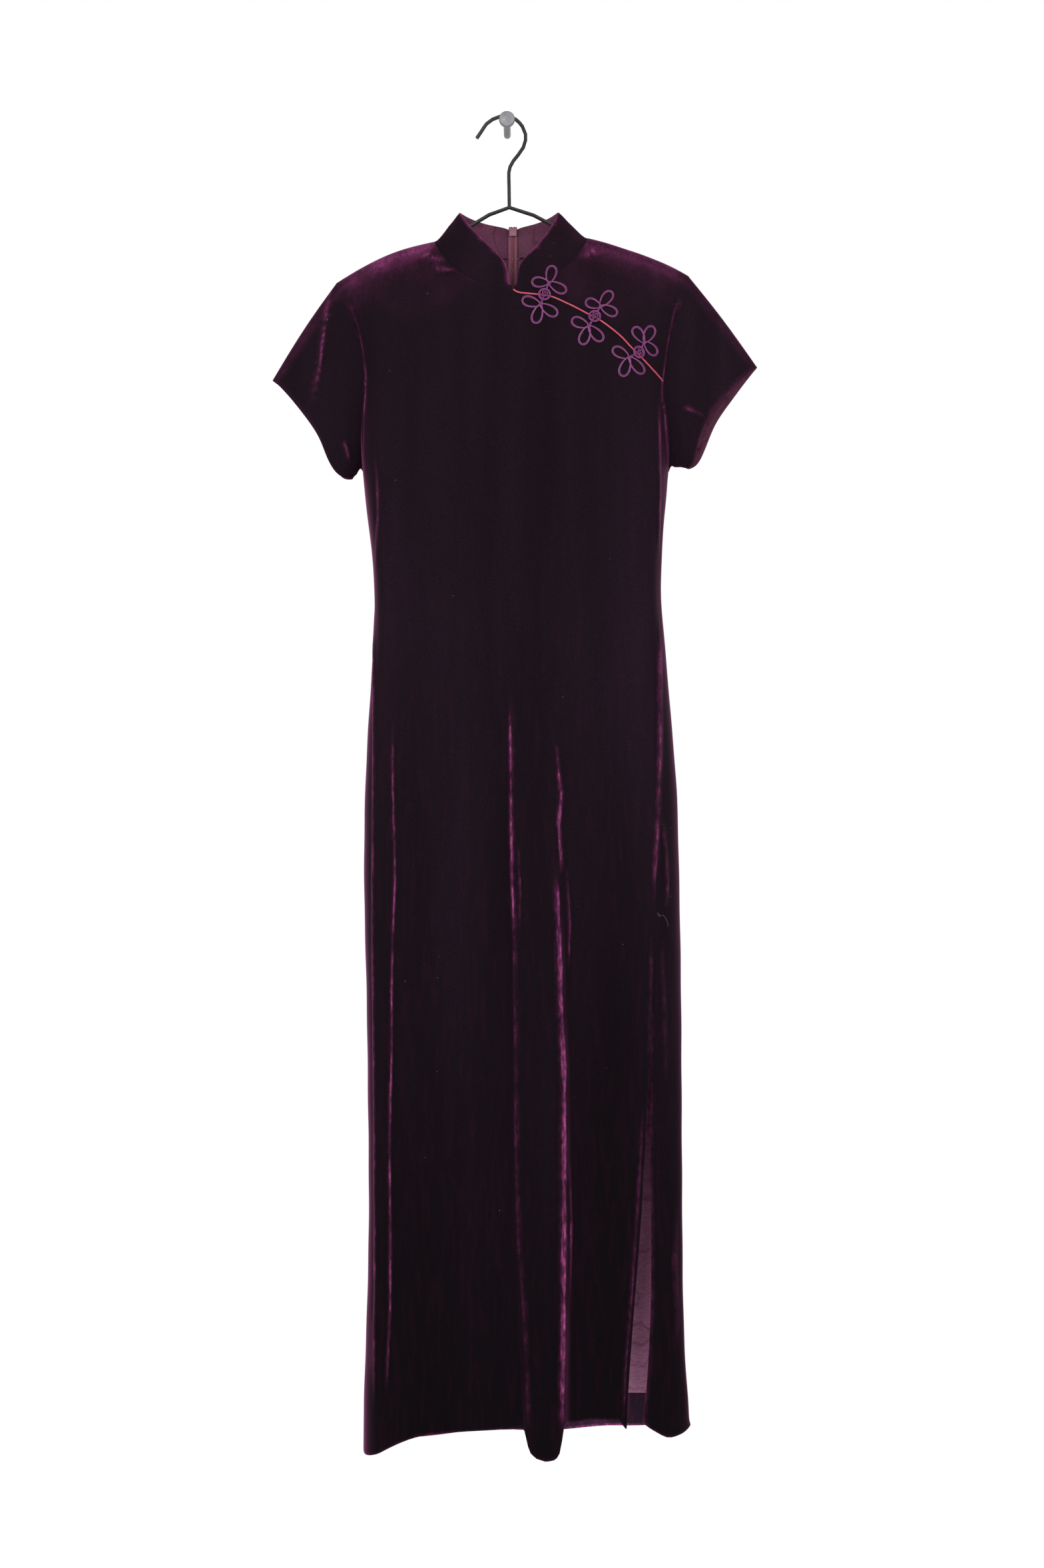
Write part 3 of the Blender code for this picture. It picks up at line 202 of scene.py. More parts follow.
def velvet_material(name, painted_light_gain):
    """Pile that is nearly black, with painted magenta sheen where it faces up and along creases, seams and
    shoulders.
    """
    made = Nodes(name)
    made.set(Roughness=0.9, Sheen_Weight=0.42, Sheen_Roughness=0.30, Specular_IOR_Level=0.08)
    made.set(Sheen_Tint=(0.95, 0.20, 0.60, 1.0))
    grain = made.noise(1500.0, 2.0)
    streak = made.noise(170.0, 6.0, made.stretched(1.0, 1.0, 0.13))
    made.bump(made.noise(14.0, 2.0), 0.10, 4.0)
    made.bump(streak, 0.14, 0.7)
    made.bump(grain, 0.45, 0.35)
    # Lighter and darker vertical columns: partly the pile's own brushed tone, partly painted shade of soft
    # folds
    brushed_pile_and_painted_shade = made.noise(9.0, 3.0, made.stretched(1.8, 1.0, 0.14))
    base = made.ramp(brushed_pile_and_painted_shade, *PILE)
    # Painted shade, darker towards the hem
    painted_shade_down = made.ramp(share_of_height(made, HEM_Z, TOP_Z), *PAINTED_SHADE_DOWN)
    base = made.mix(1.0, base, painted_shade_down, "MULTIPLY")
    # Painted sheen where the surface faces up, for light falling from above
    normal = made.add("ShaderNodeSeparateXYZ")
    made.join(made.add("ShaderNodeNewGeometry").outputs["Normal"], normal.inputs[0])
    painted_sheen_colour = made.ramp(normal.outputs["Z"], *PAINTED_SHEEN_FACING_UP)
    patchy = made.ramp(made.noise(38.0, 3.0), *PATCHES)
    # Painted sheen along creases, seams, shoulders and free edges, read from a point attribute
    painted_sheen_share = made.add("ShaderNodeAttribute", attribute_name="painted_sheen").outputs["Fac"]
    painted_sheen = made.ramp(painted_sheen_share, *PAINTED_SHEEN_ALONG_LINES)
    mottle = made.noise(240.0, 5.0, made.stretched(1.0, 1.0, 0.45))
    rough = made.ramp(mottle, *MOTTLES)
    upwards = share_of_height(made, NAP_LOW_Z, NAP_HIGH_Z)
    even = made.ramp(upwards, (0.0, grey(0)), (1.0, grey(EVEN_ABOVE)))
    rough = made.mix(even, rough, (1.0, 1.0, 1.0, 1.0))
    painted_sheen = made.mix(1.0, painted_sheen, rough, "MULTIPLY")
    painted_sheen_colour = made.mix(1.0, painted_sheen_colour, painted_sheen, "ADD")
    painted_sheen_colour = made.mix(1.0, painted_sheen_colour, patchy, "MULTIPLY")
    red = made.ramp(streak, *RED_STREAKS)
    calm = made.ramp(upwards, (0.0, grey(1)), (1.0, grey(RED_ABOVE)))
    red = made.mix(1.0, red, calm, "MULTIPLY")
    base = made.mix(1.0, base, red, "ADD")
    base = made.mix(1.0, base, painted_sheen_colour, "ADD")
    shade = made.ramp(grain, *GRAINS)
    base = made.mix(1.0, base, shade, "MULTIPLY")
    # Painted light: the gain makes a lighter copy of the velvet, for the turned-in parts seen in shade
    base = made.mix(1.0, base, (*grey(painted_light_gain), 1.0), "MULTIPLY")
    lint = made.add("ShaderNodeTexVoronoi")
    lint.inputs["Scale"].default_value = LINT_SCALE
    made.join(made.place, lint.inputs["Vector"])
    speck = made.ramp(lint.outputs["Distance"], (0.028, grey(1)), (0.05, grey(0)))
    rare = made.ramp(made.noise(31.0), (0.60, grey(0)), (0.66, grey(1)))
    speck = made.mix(1.0, speck, rare, "MULTIPLY")
    made.colour(made.mix(speck, base, LINT_COLOUR))
    return made.material


def satin_material(name, low, high, roughness, thread):
    """Thin satin: fine threads across, soft cloudy tone, and painted shade in thin wrinkle lines."""
    made = Nodes(name)
    made.set(Roughness=roughness, Sheen_Weight=0.03, Sheen_Roughness=0.4, Specular_IOR_Level=0.10)
    made.set(Sheen_Tint=(1.0, 0.6, 0.8, 1.0))
    cloud = made.noise(24.0, 3.0)
    base = made.ramp(cloud, (0.3, low), (0.7, high))
    across = made.noise(thread, 1.0, made.stretched(0.12, 1.0, 1.0))
    shade = made.ramp(across, (0.3, (0.78, 0.76, 0.78)), (0.7, (1.2, 1.18, 1.2)))
    base = made.mix(1.0, base, shade, "MULTIPLY")
    rumple = made.noise(17.0, 2.0, made.stretched(1.0, 1.0, 0.55))
    # Painted shade in thin dark lines along the wrinkles, and a faint painted highlight beside them
    painted_wrinkle_shade = made.ramp(
        rumple, (0.44, (1.0, 1.0, 1.0)), (0.455, (0.66, 0.64, 0.66)), (0.47, (1.04, 1.04, 1.04)),
        (0.56, (0.98, 0.98, 0.98)), (0.572, (0.72, 0.70, 0.72)), (0.585, (1.0, 1.0, 1.0))
    )
    made.colour(made.mix(1.0, base, painted_wrinkle_shade, "MULTIPLY"))
    made.bump(rumple, 0.35, 3.0)
    made.bump(made.noise(60.0, 2.0, made.stretched(1.0, 1.0, 0.4)), 0.25, 1.5)
    made.bump(across, 0.2, 0.2)
    return made.material


def cord_material(name, low, high):
    """Satin cord, with strands along it and a gloss on top."""
    made = Nodes(name)
    made.set(Roughness=0.34, Sheen_Weight=0.2, Sheen_Roughness=0.35, Specular_IOR_Level=0.6)
    made.set(Sheen_Tint=(1.0, 0.6, 0.95, 1.0))
    strand = made.noise(1900.0, 2.0)
    made.colour(made.ramp(strand, (0.32, low), (0.68, high)))
    made.bump(strand, 0.35, 0.25)
    return made.material


def tape_material():
    """Woven zip tape, a fine herringbone of thread."""
    made = Nodes("tape_weave")
    made.set(Roughness=0.75, Sheen_Weight=0.2, Specular_IOR_Level=0.25)
    ribs = made.add("ShaderNodeTexWave", wave_type="BANDS", bands_direction="DIAGONAL")
    ribs.inputs["Scale"].default_value = 420.0
    ribs.inputs["Distortion"].default_value = 2.0
    made.join(made.place, ribs.inputs["Vector"])
    made.colour(made.ramp(ribs.outputs["Fac"], (0.2, (0.150, 0.038, 0.062)), (0.8, (0.340, 0.110, 0.160))))
    made.bump(ribs.outputs["Fac"], 0.5, 0.25)
    return made.material


def enamel_material(name, low, high, roughness, metallic, chip):
    """Paint or coating on metal, with slight unevenness and rubbed spots."""
    made = Nodes(name)
    made.set(Metallic=metallic, Roughness=roughness, Specular_IOR_Level=0.35)
    made.set(Coat_Weight=0.12, Coat_Roughness=0.15)
    base = made.ramp(made.noise(90.0, 4.0), (0.35, low), (0.65, high))
    worn = made.ramp(made.noise(260.0, 3.0), (0.68, grey(0)), (0.74, grey(1)))
    made.colour(made.mix(worn, base, (*chip, 1.0)))
    made.bump(made.noise(420.0, 2.0), 0.12, 0.2)
    return made.material


def thread_material():
    made = Nodes("sewing_thread")
    made.set(Roughness=0.5, Sheen_Weight=0.4)
    made.colour(made.ramp(made.noise(2500.0), (0.3, (0.10, 0.03, 0.07)), (0.7, (0.24, 0.09, 0.17))))
    return made.material


# The turned-in velvet lies in the dress's own shade and still shows lighter, so a copy of the velvet is
# painted lighter by this gain
TURNED_PAINTED_LIGHT_GAIN = 16.0
VELVET_PILE = velvet_material("velvet_pile", 1.0)
VELVET_TURNED_PAINTED_LIGHTER = velvet_material("velvet_turned_in_painted_lighter", TURNED_PAINTED_LIGHT_GAIN)
MAUVE = satin_material("lining_satin", (0.092, 0.024, 0.050), (0.138, 0.042, 0.082), 0.42, 1400.0)
# Skirt lining: its own pale mauve, painted lighter still against the shade in the slit
SHEER_PAINTED_LIGHTER = satin_material("skirt_lining_painted_lighter", (0.440, 0.190, 0.310), (0.580, 0.270, 0.430), 0.5, 900.0)
CORD = cord_material("frog_cord", (0.100, 0.011, 0.080), (0.260, 0.042, 0.205))
PIPE = cord_material("piping_satin", (0.420, 0.030, 0.075), (0.680, 0.090, 0.150))
TAPE = tape_material()
ZIP_METAL = enamel_material(
    "zip_enamel", (0.190, 0.065, 0.105), (0.300, 0.120, 0.175),
    roughness=0.4, metallic=0.1, chip=(0.40, 0.28, 0.32)
)
WIRE = enamel_material(
    "wire_coating", (0.010, 0.009, 0.012), (0.020, 0.019, 0.024),
    roughness=0.18, metallic=0.0, chip=(0.03, 0.03, 0.032)
)
PEG_PAINT = enamel_material(
    "peg_enamel", (0.17, 0.17, 0.185), (0.25, 0.25, 0.265),
    roughness=0.36, metallic=0.3, chip=(0.42, 0.42, 0.43)
)
THREAD = thread_material()

# Creases, listed one by one. A height above nought stands out of the cloth, width is half the crease's
# width, lean makes one flank steeper, and the route is (x, z).
# Sharp creases, up to SHARP_WIDTH wide, also carry painted sheen along them
CREASES = [
    # side, height, width, lean, route
    ("front", 3.0, 2.6, 0.4, [(-99, -150), (-84, -155), (-66, -161)]),
    ("front", 2.4, 2.4, -0.3, [(-86, -166), (-72, -171), (-56, -173)]),
    ("front", -1.2, 4.0, 0.0, [(-118, -162), (-100, -168), (-84, -178)]),
    ("front", 3.0, 2.4, 0.3, [(103, -147), (92, -152), (80, -157)]),
    ("front", -1.6, 4.0, 0.0, [(89, -150), (88, -172), (84, -190)]),
    ("front", 1.3, 4.5, 0.4, [(140, -160), (156, -170), (171, -184)]),
    ("front", 1.0, 4.0, -0.3, [(160, -158), (174, -170), (182, -188)]),
    ("front", 4.4, 2.4, 0.5, [(-197, -180), (-201, -208), (-205, -242), (-209, -279), (-215, -308),
                              (-223, -336)]),
    ("front", 1.3, 4.5, 0.0, [(-246, -298), (-234, -314), (-220, -328)]),
    ("front", 4.0, 2.2, 0.3, [(-184, -360), (-179, -372), (-176, -386)]),
    ("front", -1.5, 6.0, 0.0, [(-190, -230), (-186, -280), (-184, -330)]),
    ("front", 4.4, 2.2, 0.3, [(194, -324), (208, -329), (226, -337)]),
    ("front", 1.8, 4.0, 0.0, [(190, -338), (196, -356), (200, -378)]),
    ("front", 1.5, 4.5, 0.2, [(200, -235), (207, -262), (222, -290)]),
    ("front", -1.2, 6.0, 0.0, [(212, -228), (230, -256), (240, -280)]),
    ("front", 3.2, 2.0, 0.4, [(-148, -372), (-143, -410), (-142, -450), (-147, -516)]),
    ("front", 3.4, 1.9, -0.4, [(169, -300), (170, -360), (170, -430), (169, -498)]),
    ("front", 2.6, 1.8, 0.3, [(176, -322), (178, -356), (180, -392)]),
    ("front", 1.7, 3.8, 0.4, [(147, -405), (150, -508), (150, -613), (146, -689), (142, -847), (137, -979),
                              (136, -1058), (133, -1233), (131, -1330)]),
    ("front", 4.2, 2.1, 0.5, [(-126, -664), (-126, -723), (-123, -858), (-126, -921), (-127, -1058),
                              (-129, -1140), (-128, -1233), (-128, -1321), (-133, -1430)]),
    ("front", 2.1, 2.6, -0.6, [(4, -632), (4, -700), (4, -760), (5, -847), (8, -926), (9, -1058), (10, -1175),
                               (13, -1263), (18, -1321), (21, -1380), (24, -1470)]),
    ("front", 4.6, 2.2, 0.0, [(55, -700), (59, -756)]),
    ("front", 5.0, 2.2, 0.3, [(62, -740), (57, -800)]),
    ("front", 5.0, 2.2, -0.3, [(56, -780), (61, -850)]),
    ("front", 3.0, 1.8, 0.3, [(66, -830), (70, -900), (68, -960)]),
    ("front", 3.0, 1.8, -0.3, [(68, -1150), (71, -1230), (69, -1330)]),
    ("front", 2.2, 1.8, 0.3, [(12, -800), (15, -860), (14, -930)]),
    ("front", 2.4, 2.2, 0.3, [(3, -640), (5, -760), (6, -850), (9, -930)]),
    ("front", 6.6, 2.7, 0.6, [(55, -832), (59, -926), (61, -1006), (64, -1058), (64, -1233), (63, -1350),
                              (61, -1472)]),
    ("front", 3.6, 2.0, 0.4, [(170, -560), (170, -689), (168, -768), (164, -847), (164, -893)]),
    ("front", 2.8, 1.8, 0.0, [(171, -778), (176, -821), (178, -860), (175, -892)]),
    ("front", 2.4, 2.0, 0.0, [(160, -905), (159, -980), (156, -1060)]),
    ("front", 2.8, 1.8, 0.3, [(152, -1090), (143.5, -1233), (136.5, -1330), (130.5, -1400), (129, -1465)]),
    ("front", 1.0, 9.0, 0.0, [(-56, -720), (-54, -820), (-58, -960)]),
    ("front", 0.9, 2.4, 0.3, [(-55, -835), (-49, -858), (-47, -882)]),
    ("front", -1.3, 9.0, 0.0, [(-96, -440), (-104, -560), (-100, -700)]),
    ("front", 1.1, 10.0, 0.0, [(-70, -430), (-74, -560), (-84, -690)]),
    ("front", -1.2, 8.0, 0.0, [(96, -640), (98, -820), (100, -1050)]),
    ("front", 1.1, 8.0, 0.0, [(110, -560), (114, -760), (112, -980), (108, -1200)]),
    ("front", 1.2, 7.0, 0.0, [(-82, -1120), (-80, -1200), (-84, -1290)]),
    ("front", -1.2, 9.0, 0.0, [(-50, -1060), (-44, -1240), (-48, -1440)]),
    ("front", 1.1, 8.0, 0.0, [(-22, -1150), (-18, -1300), (-20, -1460)]),
    ("front", 1.0, 7.0, 0.0, [(90, -1180), (92, -1320), (88, -1450)]),
    ("front", -0.9, 12.0, 0.0, [(-30, -300), (20, -318), (80, -308)]),
    ("front", 0.8, 11.0, 0.0, [(60, -360), (74, -420), (80, -520)]),
    ("front", 0.8, 11.0, 0.0, [(-58, -350), (-66, -420), (-70, -500)]),
    ("front", 1.6, 3.0, 0.0, [(-139, -1280), (-148, -1350), (-150, -1430)]),
    ("front", 3.0, 1.7, 0.3, [(-149, -540), (-148, -700), (-149, -900), (-147, -1100), (-146, -1300),
                              (-147, -1450)]),
    ("front", 1.8, 2.6, 0.2, [(187, -1200), (186, -1280), (189, -1350), (184, -1400)]),
    ("front", 1.5, 3.0, 0.2, [(-30, -1380), (-24, -1420), (-28, -1462)]),
    ("front", 1.6, 2.6, 0.2, [(172, -900), (174, -990), (178, -1100)]),
    ("back", 2.4, 2.6, 0.4, [(-96, -158), (-84, -164), (-70, -176)]),
    ("back", 2.2, 2.6, -0.4, [(108, -156), (96, -164), (84, -178)]),
    ("back", 1.5, 5.0, 0.0, [(-130, -190), (-122, -240), (-116, -300)]),
    ("back", 1.5, 5.0, 0.0, [(146, -186), (138, -240), (132, -310)]),
    ("back", 3.0, 2.6, -0.4, [(-202, -212), (-207, -262), (-219, -316)]),
    ("back", 2.8, 2.6, 0.4, [(205, -214), (213, -262), (226, -312)]),
    ("back", 2.0, 3.6, 0.0, [(-146, -380), (-138, -430), (-140, -520)]),
    ("back", 2.6, 2.4, 0.0, [(172, -360), (164, -430), (166, -520)]),
    ("back", 1.6, 4.2, 0.4, [(-60, -470), (-66, -560), (-60, -660)]),
    ("back", 1.6, 4.2, -0.4, [(76, -480), (82, -570), (74, -680)]),
    ("back", 3.2, 2.6, 0.4, [(-104, -690), (-108, -860), (-104, -1060), (-110, -1260), (-106, -1440)]),
    ("back", 2.4, 2.6, -0.4, [(-40, -760), (-44, -960), (-38, -1180), (-42, -1450)]),
    ("back", 2.6, 2.6, 0.4, [(52, -720), (56, -900), (50, -1100), (58, -1300), (54, -1455)]),
    ("back", 3.6, 2.6, -0.4, [(118, -660), (122, -860), (116, -1060), (124, -1290), (120, -1450)]),
    ("back", -1.4, 8.0, 0.0, [(-72, -700), (-76, -960), (-70, -1300)]),
    ("back", -1.4, 8.0, 0.0, [(84, -760), (88, -1000), (86, -1380)]),
    ("back", 1.2, 9.0, 0.0, [(-20, -640), (-12, -800), (-16, -1100)]),
    ("back", 1.0, 10.0, 0.0, [(30, -330), (36, -430), (30, -540)]),
]

LEFT_ARMHOLE = [
    (-189, -191), (-174.5, -214), (-167, -233), (-161, -262), (-158, -289), (-158.6, -310), (-161, -341),
    (-161, -369), (-160, -403),
]
RIGHT_ARMHOLE = [
    (202, -183), (190.6, -208), (186.6, -220), (180, -254), (174, -299), (174, -313), (177, -331),
    (179.5, -358), (179, -386),
]
# Seams roll inwards, so that the pile catches light beside them; painted sheen is also laid along them
SEAMS = [
    ("front", -2.4, 1.4, 0.0, LEFT_ARMHOLE),
    ("front", -2.4, 1.4, 0.0, RIGHT_ARMHOLE),
    ("back", -1.6, 1.5, 0.0, LEFT_ARMHOLE),
    ("back", -1.6, 1.5, 0.0, RIGHT_ARMHOLE),
    ("back", -1.5, 1.6, 0.0, [(6.5, -175), (6.5, -600), (6.5, -1000), (6.5, -1470)]),
]
# Top edge of the dress from sleeve tip to sleeve tip, over which the cloth lies on the hanger
SHOULDER = [
    (-260.5, -297.6), (-189, -190.7), (-182.6, -186.2), (-157.5, -171.5), (-119, -153.7), (-80, -142),
    (90, -140.8), (121, -149), (144.8, -156.7), (181.7, -171.5), (201.7, -182.6), (278.5, -283),
]
SHOULDER_FULLNESS = 6.5
SHOULDER_REACH = 15.0
SIDE_FULLNESS = 2.3
NECK_X = 4.5
NECK_HALF = 76.0
# Each crease fades over this share of its length at either end, up to so many millimetres
END_FADE = 0.3
LONGEST_FADE = 60.0
# Waver of a crease's height: share, its length over a turn, and how much the turns differ
SLOW_WAVER = (0.22, 17.0, 5)
QUICK_WAVER = (0.12, 6.1, 3)
# Below this height the dress is a tube, and its sides are pushed sideways
TUBE_Z = -380.0
TUBE_OVER = 40.0
TUBE_HALF = 185.0
TUBE_DEPTH = 40.0
# Creases fade out beside the side seams and round the neck
SEAM_CALM = 7.0
NECK_Z = -150
NECK_CALM = 20
NECK_OVER = 60.0
RIPPLE = 0.35
# Where the skirt's right side is fuller
SIDE_X = 150
SIDE_X_OVER = 30
SIDE_Z = -640
SIDE_Z_OVER = 120
# Where the shoulders' fullness ends, at the neck and on the sleeves
NECK_FADE = 35
SLEEVE_X = 225
SLEEVE_OVER = 50


def smooth(t):
    t = np.clip(t, 0.0, 1.0)
    return t * t * (3 - 2 * t)


def crease_height(x, z, height, width, lean, route):
    """Height in millimetres of one crease at arrays of x and z, faded at its two ends."""
    spots = np.array(route, float)
    steps = np.hypot(*(spots[1:] - spots[:-1]).T)
    total = steps.sum()
    nearest = np.full(x.shape, 1e9)
    aside = np.zeros(x.shape)
    along = np.zeros(x.shape)
    run = 0.0
    for a, b, step in zip(spots, spots[1:], steps):
        way = (b - a) / step
        t = np.clip((x - a[0]) * way[0] + (z - a[1]) * way[1], 0, step)
        dx = x - a[0] - way[0] * t
        dz = z - a[1] - way[1] * t
        away = np.hypot(dx, dz)
        closer = away < nearest
        nearest = np.where(closer, away, nearest)
        aside = np.where(closer, np.sign(way[0] * dz - way[1] * dx) * away, aside)
        along = np.where(closer, run + t, along)
        run += step
    fade = min(END_FADE * total, LONGEST_FADE)
    strength = smooth(along / fade) * smooth((total - along) / fade)
    lean_side = 1 + lean * np.tanh(aside / width)
    slow, slow_length, slow_shift = SLOW_WAVER
    quick, quick_length, quick_shift = QUICK_WAVER
    waver = 1 + slow * np.sin(along / slow_length + height * slow_shift)
    waver = waver + quick * np.sin(along / quick_length + width * quick_shift)
    return height * waver * strength * np.exp(-(nearest / (width * lean_side)) ** 2)


def pushed(points):
    """Moves cloth points in millimetres by the creases. Neighbours move alike, so seams stay shut."""
    x, y, z = points.T
    depth = y - HANG_Y
    turn = smooth((TUBE_Z - z) / TUBE_OVER)
    out_x = turn * (x - CENTRE_X) / TUBE_HALF**2
    out_y = depth / TUBE_DEPTH**2
    size = np.hypot(out_x, out_y) + 1e-9
    calm = smooth(np.abs(depth) / SEAM_CALM)
    total = np.zeros(x.shape)
    for side, height, width, lean, route in CREASES + SEAMS:
        here = depth < 0 if side == "front" else depth >= 0
        total += np.where(here, crease_height(x, z, height, width, lean, route), 0.0)
    total += RIPPLE * np.sin(x / 9.0 + z / 31.0) * np.sin(z / 23.0 - x / 47.0)
    total += SIDE_FULLNESS * smooth((x - SIDE_X) / SIDE_X_OVER) * smooth((SIDE_Z - z) / SIDE_Z_OVER)
    total *= np.maximum(calm, turn)
    total *= smooth((np.hypot(x - CENTRE_BACK_X, z - NECK_Z) - NECK_CALM) / NECK_OVER)
    ridge_x, ridge_z = np.array(SHOULDER).T
    below = np.clip(np.interp(x, ridge_x, ridge_z) - z, 0, None) / SHOULDER_REACH
    beside_neck = smooth((np.abs(x - NECK_X) - NECK_HALF) / NECK_FADE)
    fullness = SHOULDER_FULLNESS * beside_neck * smooth((SLEEVE_X - np.abs(x)) / SLEEVE_OVER) * calm
    total += fullness * below * np.exp(1 - below)
    moved = points.copy()
    moved[:, 0] += total * out_x / size
    moved[:, 1] += total * out_y / size
    return moved


# Height of a crease or seam at which its painted sheen is full, and how widely the painted sheen spreads
FULLY_LIT = 4.5
SEAM_FULLY_LIT = 2.8
CREASE_SPREAD = 0.95
SEAM_SPREAD = 0.80
SHOULDER_LIGHT = 0.84
RIGHT_SHARE = 0.74
SLEEVE_LIGHT = 0.40
SLEEVE_FADE = 6.0
SHOULDER_FADE = 14.0
ARMHOLE_X = 200.0
ARMHOLE_OVER = 25
NECK_INSET = 10
NECK_LIGHT_OVER = 22
FREE_EDGE_LIGHT = 0.50
COLLAR_EDGE_LIGHT = 1.0
FREE_EDGE_AWAY = 3.5


def painted_sheen_at(points, collar):
    """Painted sheen, from 0 to 1: along creases, and over the shoulders."""
    x, y, z = points.T
    lit = np.zeros(x.shape)
    for lines, spread, full in ((CREASES, CREASE_SPREAD, FULLY_LIT), (SEAMS, SEAM_SPREAD, SEAM_FULLY_LIT)):
        for side, height, width, lean, route in lines:
            if width <= SHARP_WIDTH:
                here = y < HANG_Y if side == "front" else y >= HANG_Y
                raised = crease_height(x, z, height, spread * width, -lean, route)
                lit += np.where(here, np.abs(raised) / full, 0.0)
    if not collar:
        ridge_x, ridge_z = np.array(SHOULDER).T
        below = np.clip(np.interp(x, ridge_x, ridge_z) - z, 0, None)
        inward = smooth((ARMHOLE_X - np.abs(x - NECK_X)) / ARMHOLE_OVER)
        fade = SLEEVE_FADE + SHOULDER_FADE * inward
        light = SLEEVE_LIGHT + (SHOULDER_LIGHT - SLEEVE_LIGHT) * inward
        beside_neck = smooth((np.abs(x - NECK_X) - NECK_HALF + NECK_INSET) / NECK_LIGHT_OVER)
        light *= np.where(x < NECK_X, 1.0, RIGHT_SHARE)
        lit += light * beside_neck * np.exp(-below / fade)
    return np.clip(lit, 0.0, 1.0)


def boundary_spots(mesh):
    """Numbers and places of the points on a sheet's edges."""
    uses = {}
    for face in mesh.polygons:
        for key in face.edge_keys:
            uses[key] = uses.get(key, 0) + 1
    numbers = sorted({n for key, count in uses.items() if count == 1 for n in key})
    return [(n, mesh.vertices[n].co.copy()) for n in numbers]


def paint_sheen_on_free_edges(sheets):
    """Paints sheen on edges that no other panel is sewn to."""
    spots = {node: boundary_spots(made.data) for node, made in sheets.items()}
    for node, made in sheets.items():
        others = [spot for other in sheets if other != node for _, spot in spots[other]]
        tree = KDTree(len(others))
        for n, spot in enumerate(others):
            tree.insert(spot, n)
        tree.balance()
        painted_sheen = made.data.attributes["painted_sheen"].data
        light = COLLAR_EDGE_LIGHT if node.startswith("collar") else FREE_EDGE_LIGHT
        for n, spot in spots[node]:
            if tree.find(spot)[2] > FREE_EDGE_AWAY * MM:
                painted_sheen[n].value = max(painted_sheen[n].value, light)


COLLAR_TIPS_Z = -125.0
HEM_TOP_Z = -1380.0
HEM_BAND_Z = -1432.0
HEM_CORNER = 0.35
# Lower edge of the box fold at the front's hem
TONGUE_TOP_Z = -1425.0
TONGUE = [
    (10, -1459), (18.5, -1457.5), (20.3, -1459.5), (23.0, -1472), (26.4, -1480.5), (32.2, -1486),
    (43.2, -1489.5), (52, -1488), (56.4, -1485), (59.3, -1478), (61.0, -1466), (62.6, -1454),
    (66, -1451.5), (72, -1452.3), (84, -1452.2),
]
HEM_LEFT_X = -135.0
CUFF_TOP_Z = -230.0
UNDERARM_HALF = 178.0
# Points closer than this are one, and a rim's cross edge is this near to the wall's thickness
WELD = 0.01
RIM_SLACK = 0.02
FLAT_JOIN = math.radians(40)
SHAPE_JOIN = math.radians(60)
CORNER_TURN = math.radians(142)


def outer_sheet(name, wall):
    """The outer face of a cloth node as an open sheet.

    The wall's rim is found by its cross edges, which are as long as the wall is thick.
    """
    bm = bmesh.new()
    bm.from_mesh(NODES[name].data)
    bmesh.ops.remove_doubles(bm, verts=bm.verts, dist=WELD * MM)
    rim = [f for f in bm.faces if any(abs(e.calc_length() / MM - wall) < RIM_SLACK for e in f.edges)]
    bmesh.ops.delete(bm, geom=rim, context="FACES")
    islands = []
    seen = set()
    for face in bm.faces:
        if face in seen:
            continue
        seen.add(face)
        island = [face]
        for member in island:
            for edge in member.edges:
                for other in edge.link_faces:
                    if other not in seen:
                        seen.add(other)
                        island.append(other)
        islands.append(island)
    islands.sort(key=lambda island: -sum(f.calc_area() for f in island))
    rest = [f for island in islands[1:] for f in island]
    bmesh.ops.delete(bm, geom=rest, context="FACES")
    bmesh.ops.join_triangles(
        bm, faces=bm.faces, angle_face_threshold=FLAT_JOIN, angle_shape_threshold=SHAPE_JOIN
    )
    corner = bm.verts.layers.float.new("crease_vert")
    for vert in bm.verts:
        edges = [e for e in vert.link_edges if e.is_boundary]
        if len(edges) == 2:
            first, second = (e.other_vert(vert).co - vert.co for e in edges)
            x, y, z = vert.co / MM
            at_seam = x < HEM_LEFT_X or (abs(x - CENTRE_BACK_X) < ZIP_HALF and y > HANG_Y)
            at_hem = z < HEM_TOP_Z and not at_seam
            collar_tip = name.startswith("collar") and z > COLLAR_TIPS_Z
            at_cuff = name.startswith("sleeve") and z < CUFF_TOP_Z and abs(x - CENTRE_X) > UNDERARM_HALF
            if first.angle(second, math.pi) < CORNER_TURN and not collar_tip and not at_cuff:
                vert[corner] = HEM_CORNER if at_hem else 1.0
    return bm


def square_tongue(mesh):
    """Gives the box fold's lower end its steep sides and rounded bottom."""
    spots = [spot / MM for _, spot in boundary_spots(mesh)]
    low = sorted((s.x, s.z) for s in spots if s.z < HEM_TOP_Z and TONGUE[0][0] <= s.x <= TONGUE[-1][0])
    hem_x, hem_z = np.array(low).T
    wanted_x, wanted_z = np.array(TONGUE).T
    for vert in mesh.vertices:
        x, y, z = vert.co / MM
        if TONGUE[0][0] <= x <= TONGUE[-1][0] and z < TONGUE_TOP_Z and y < HANG_Y:
            hem = np.interp(x, hem_x, hem_z)
            share = smooth((TONGUE_TOP_Z - z) / (TONGUE_TOP_Z - hem))
            vert.co.z += share * (np.interp(x, wanted_x, wanted_z) - hem) * MM


def new_object(name, bm):
    mesh = bpy.data.meshes.new(name)
    bm.to_mesh(mesh)
    bm.free()
    made = bpy.data.objects.new(name, mesh)
    SCENE.collection.objects.link(made)
    return made


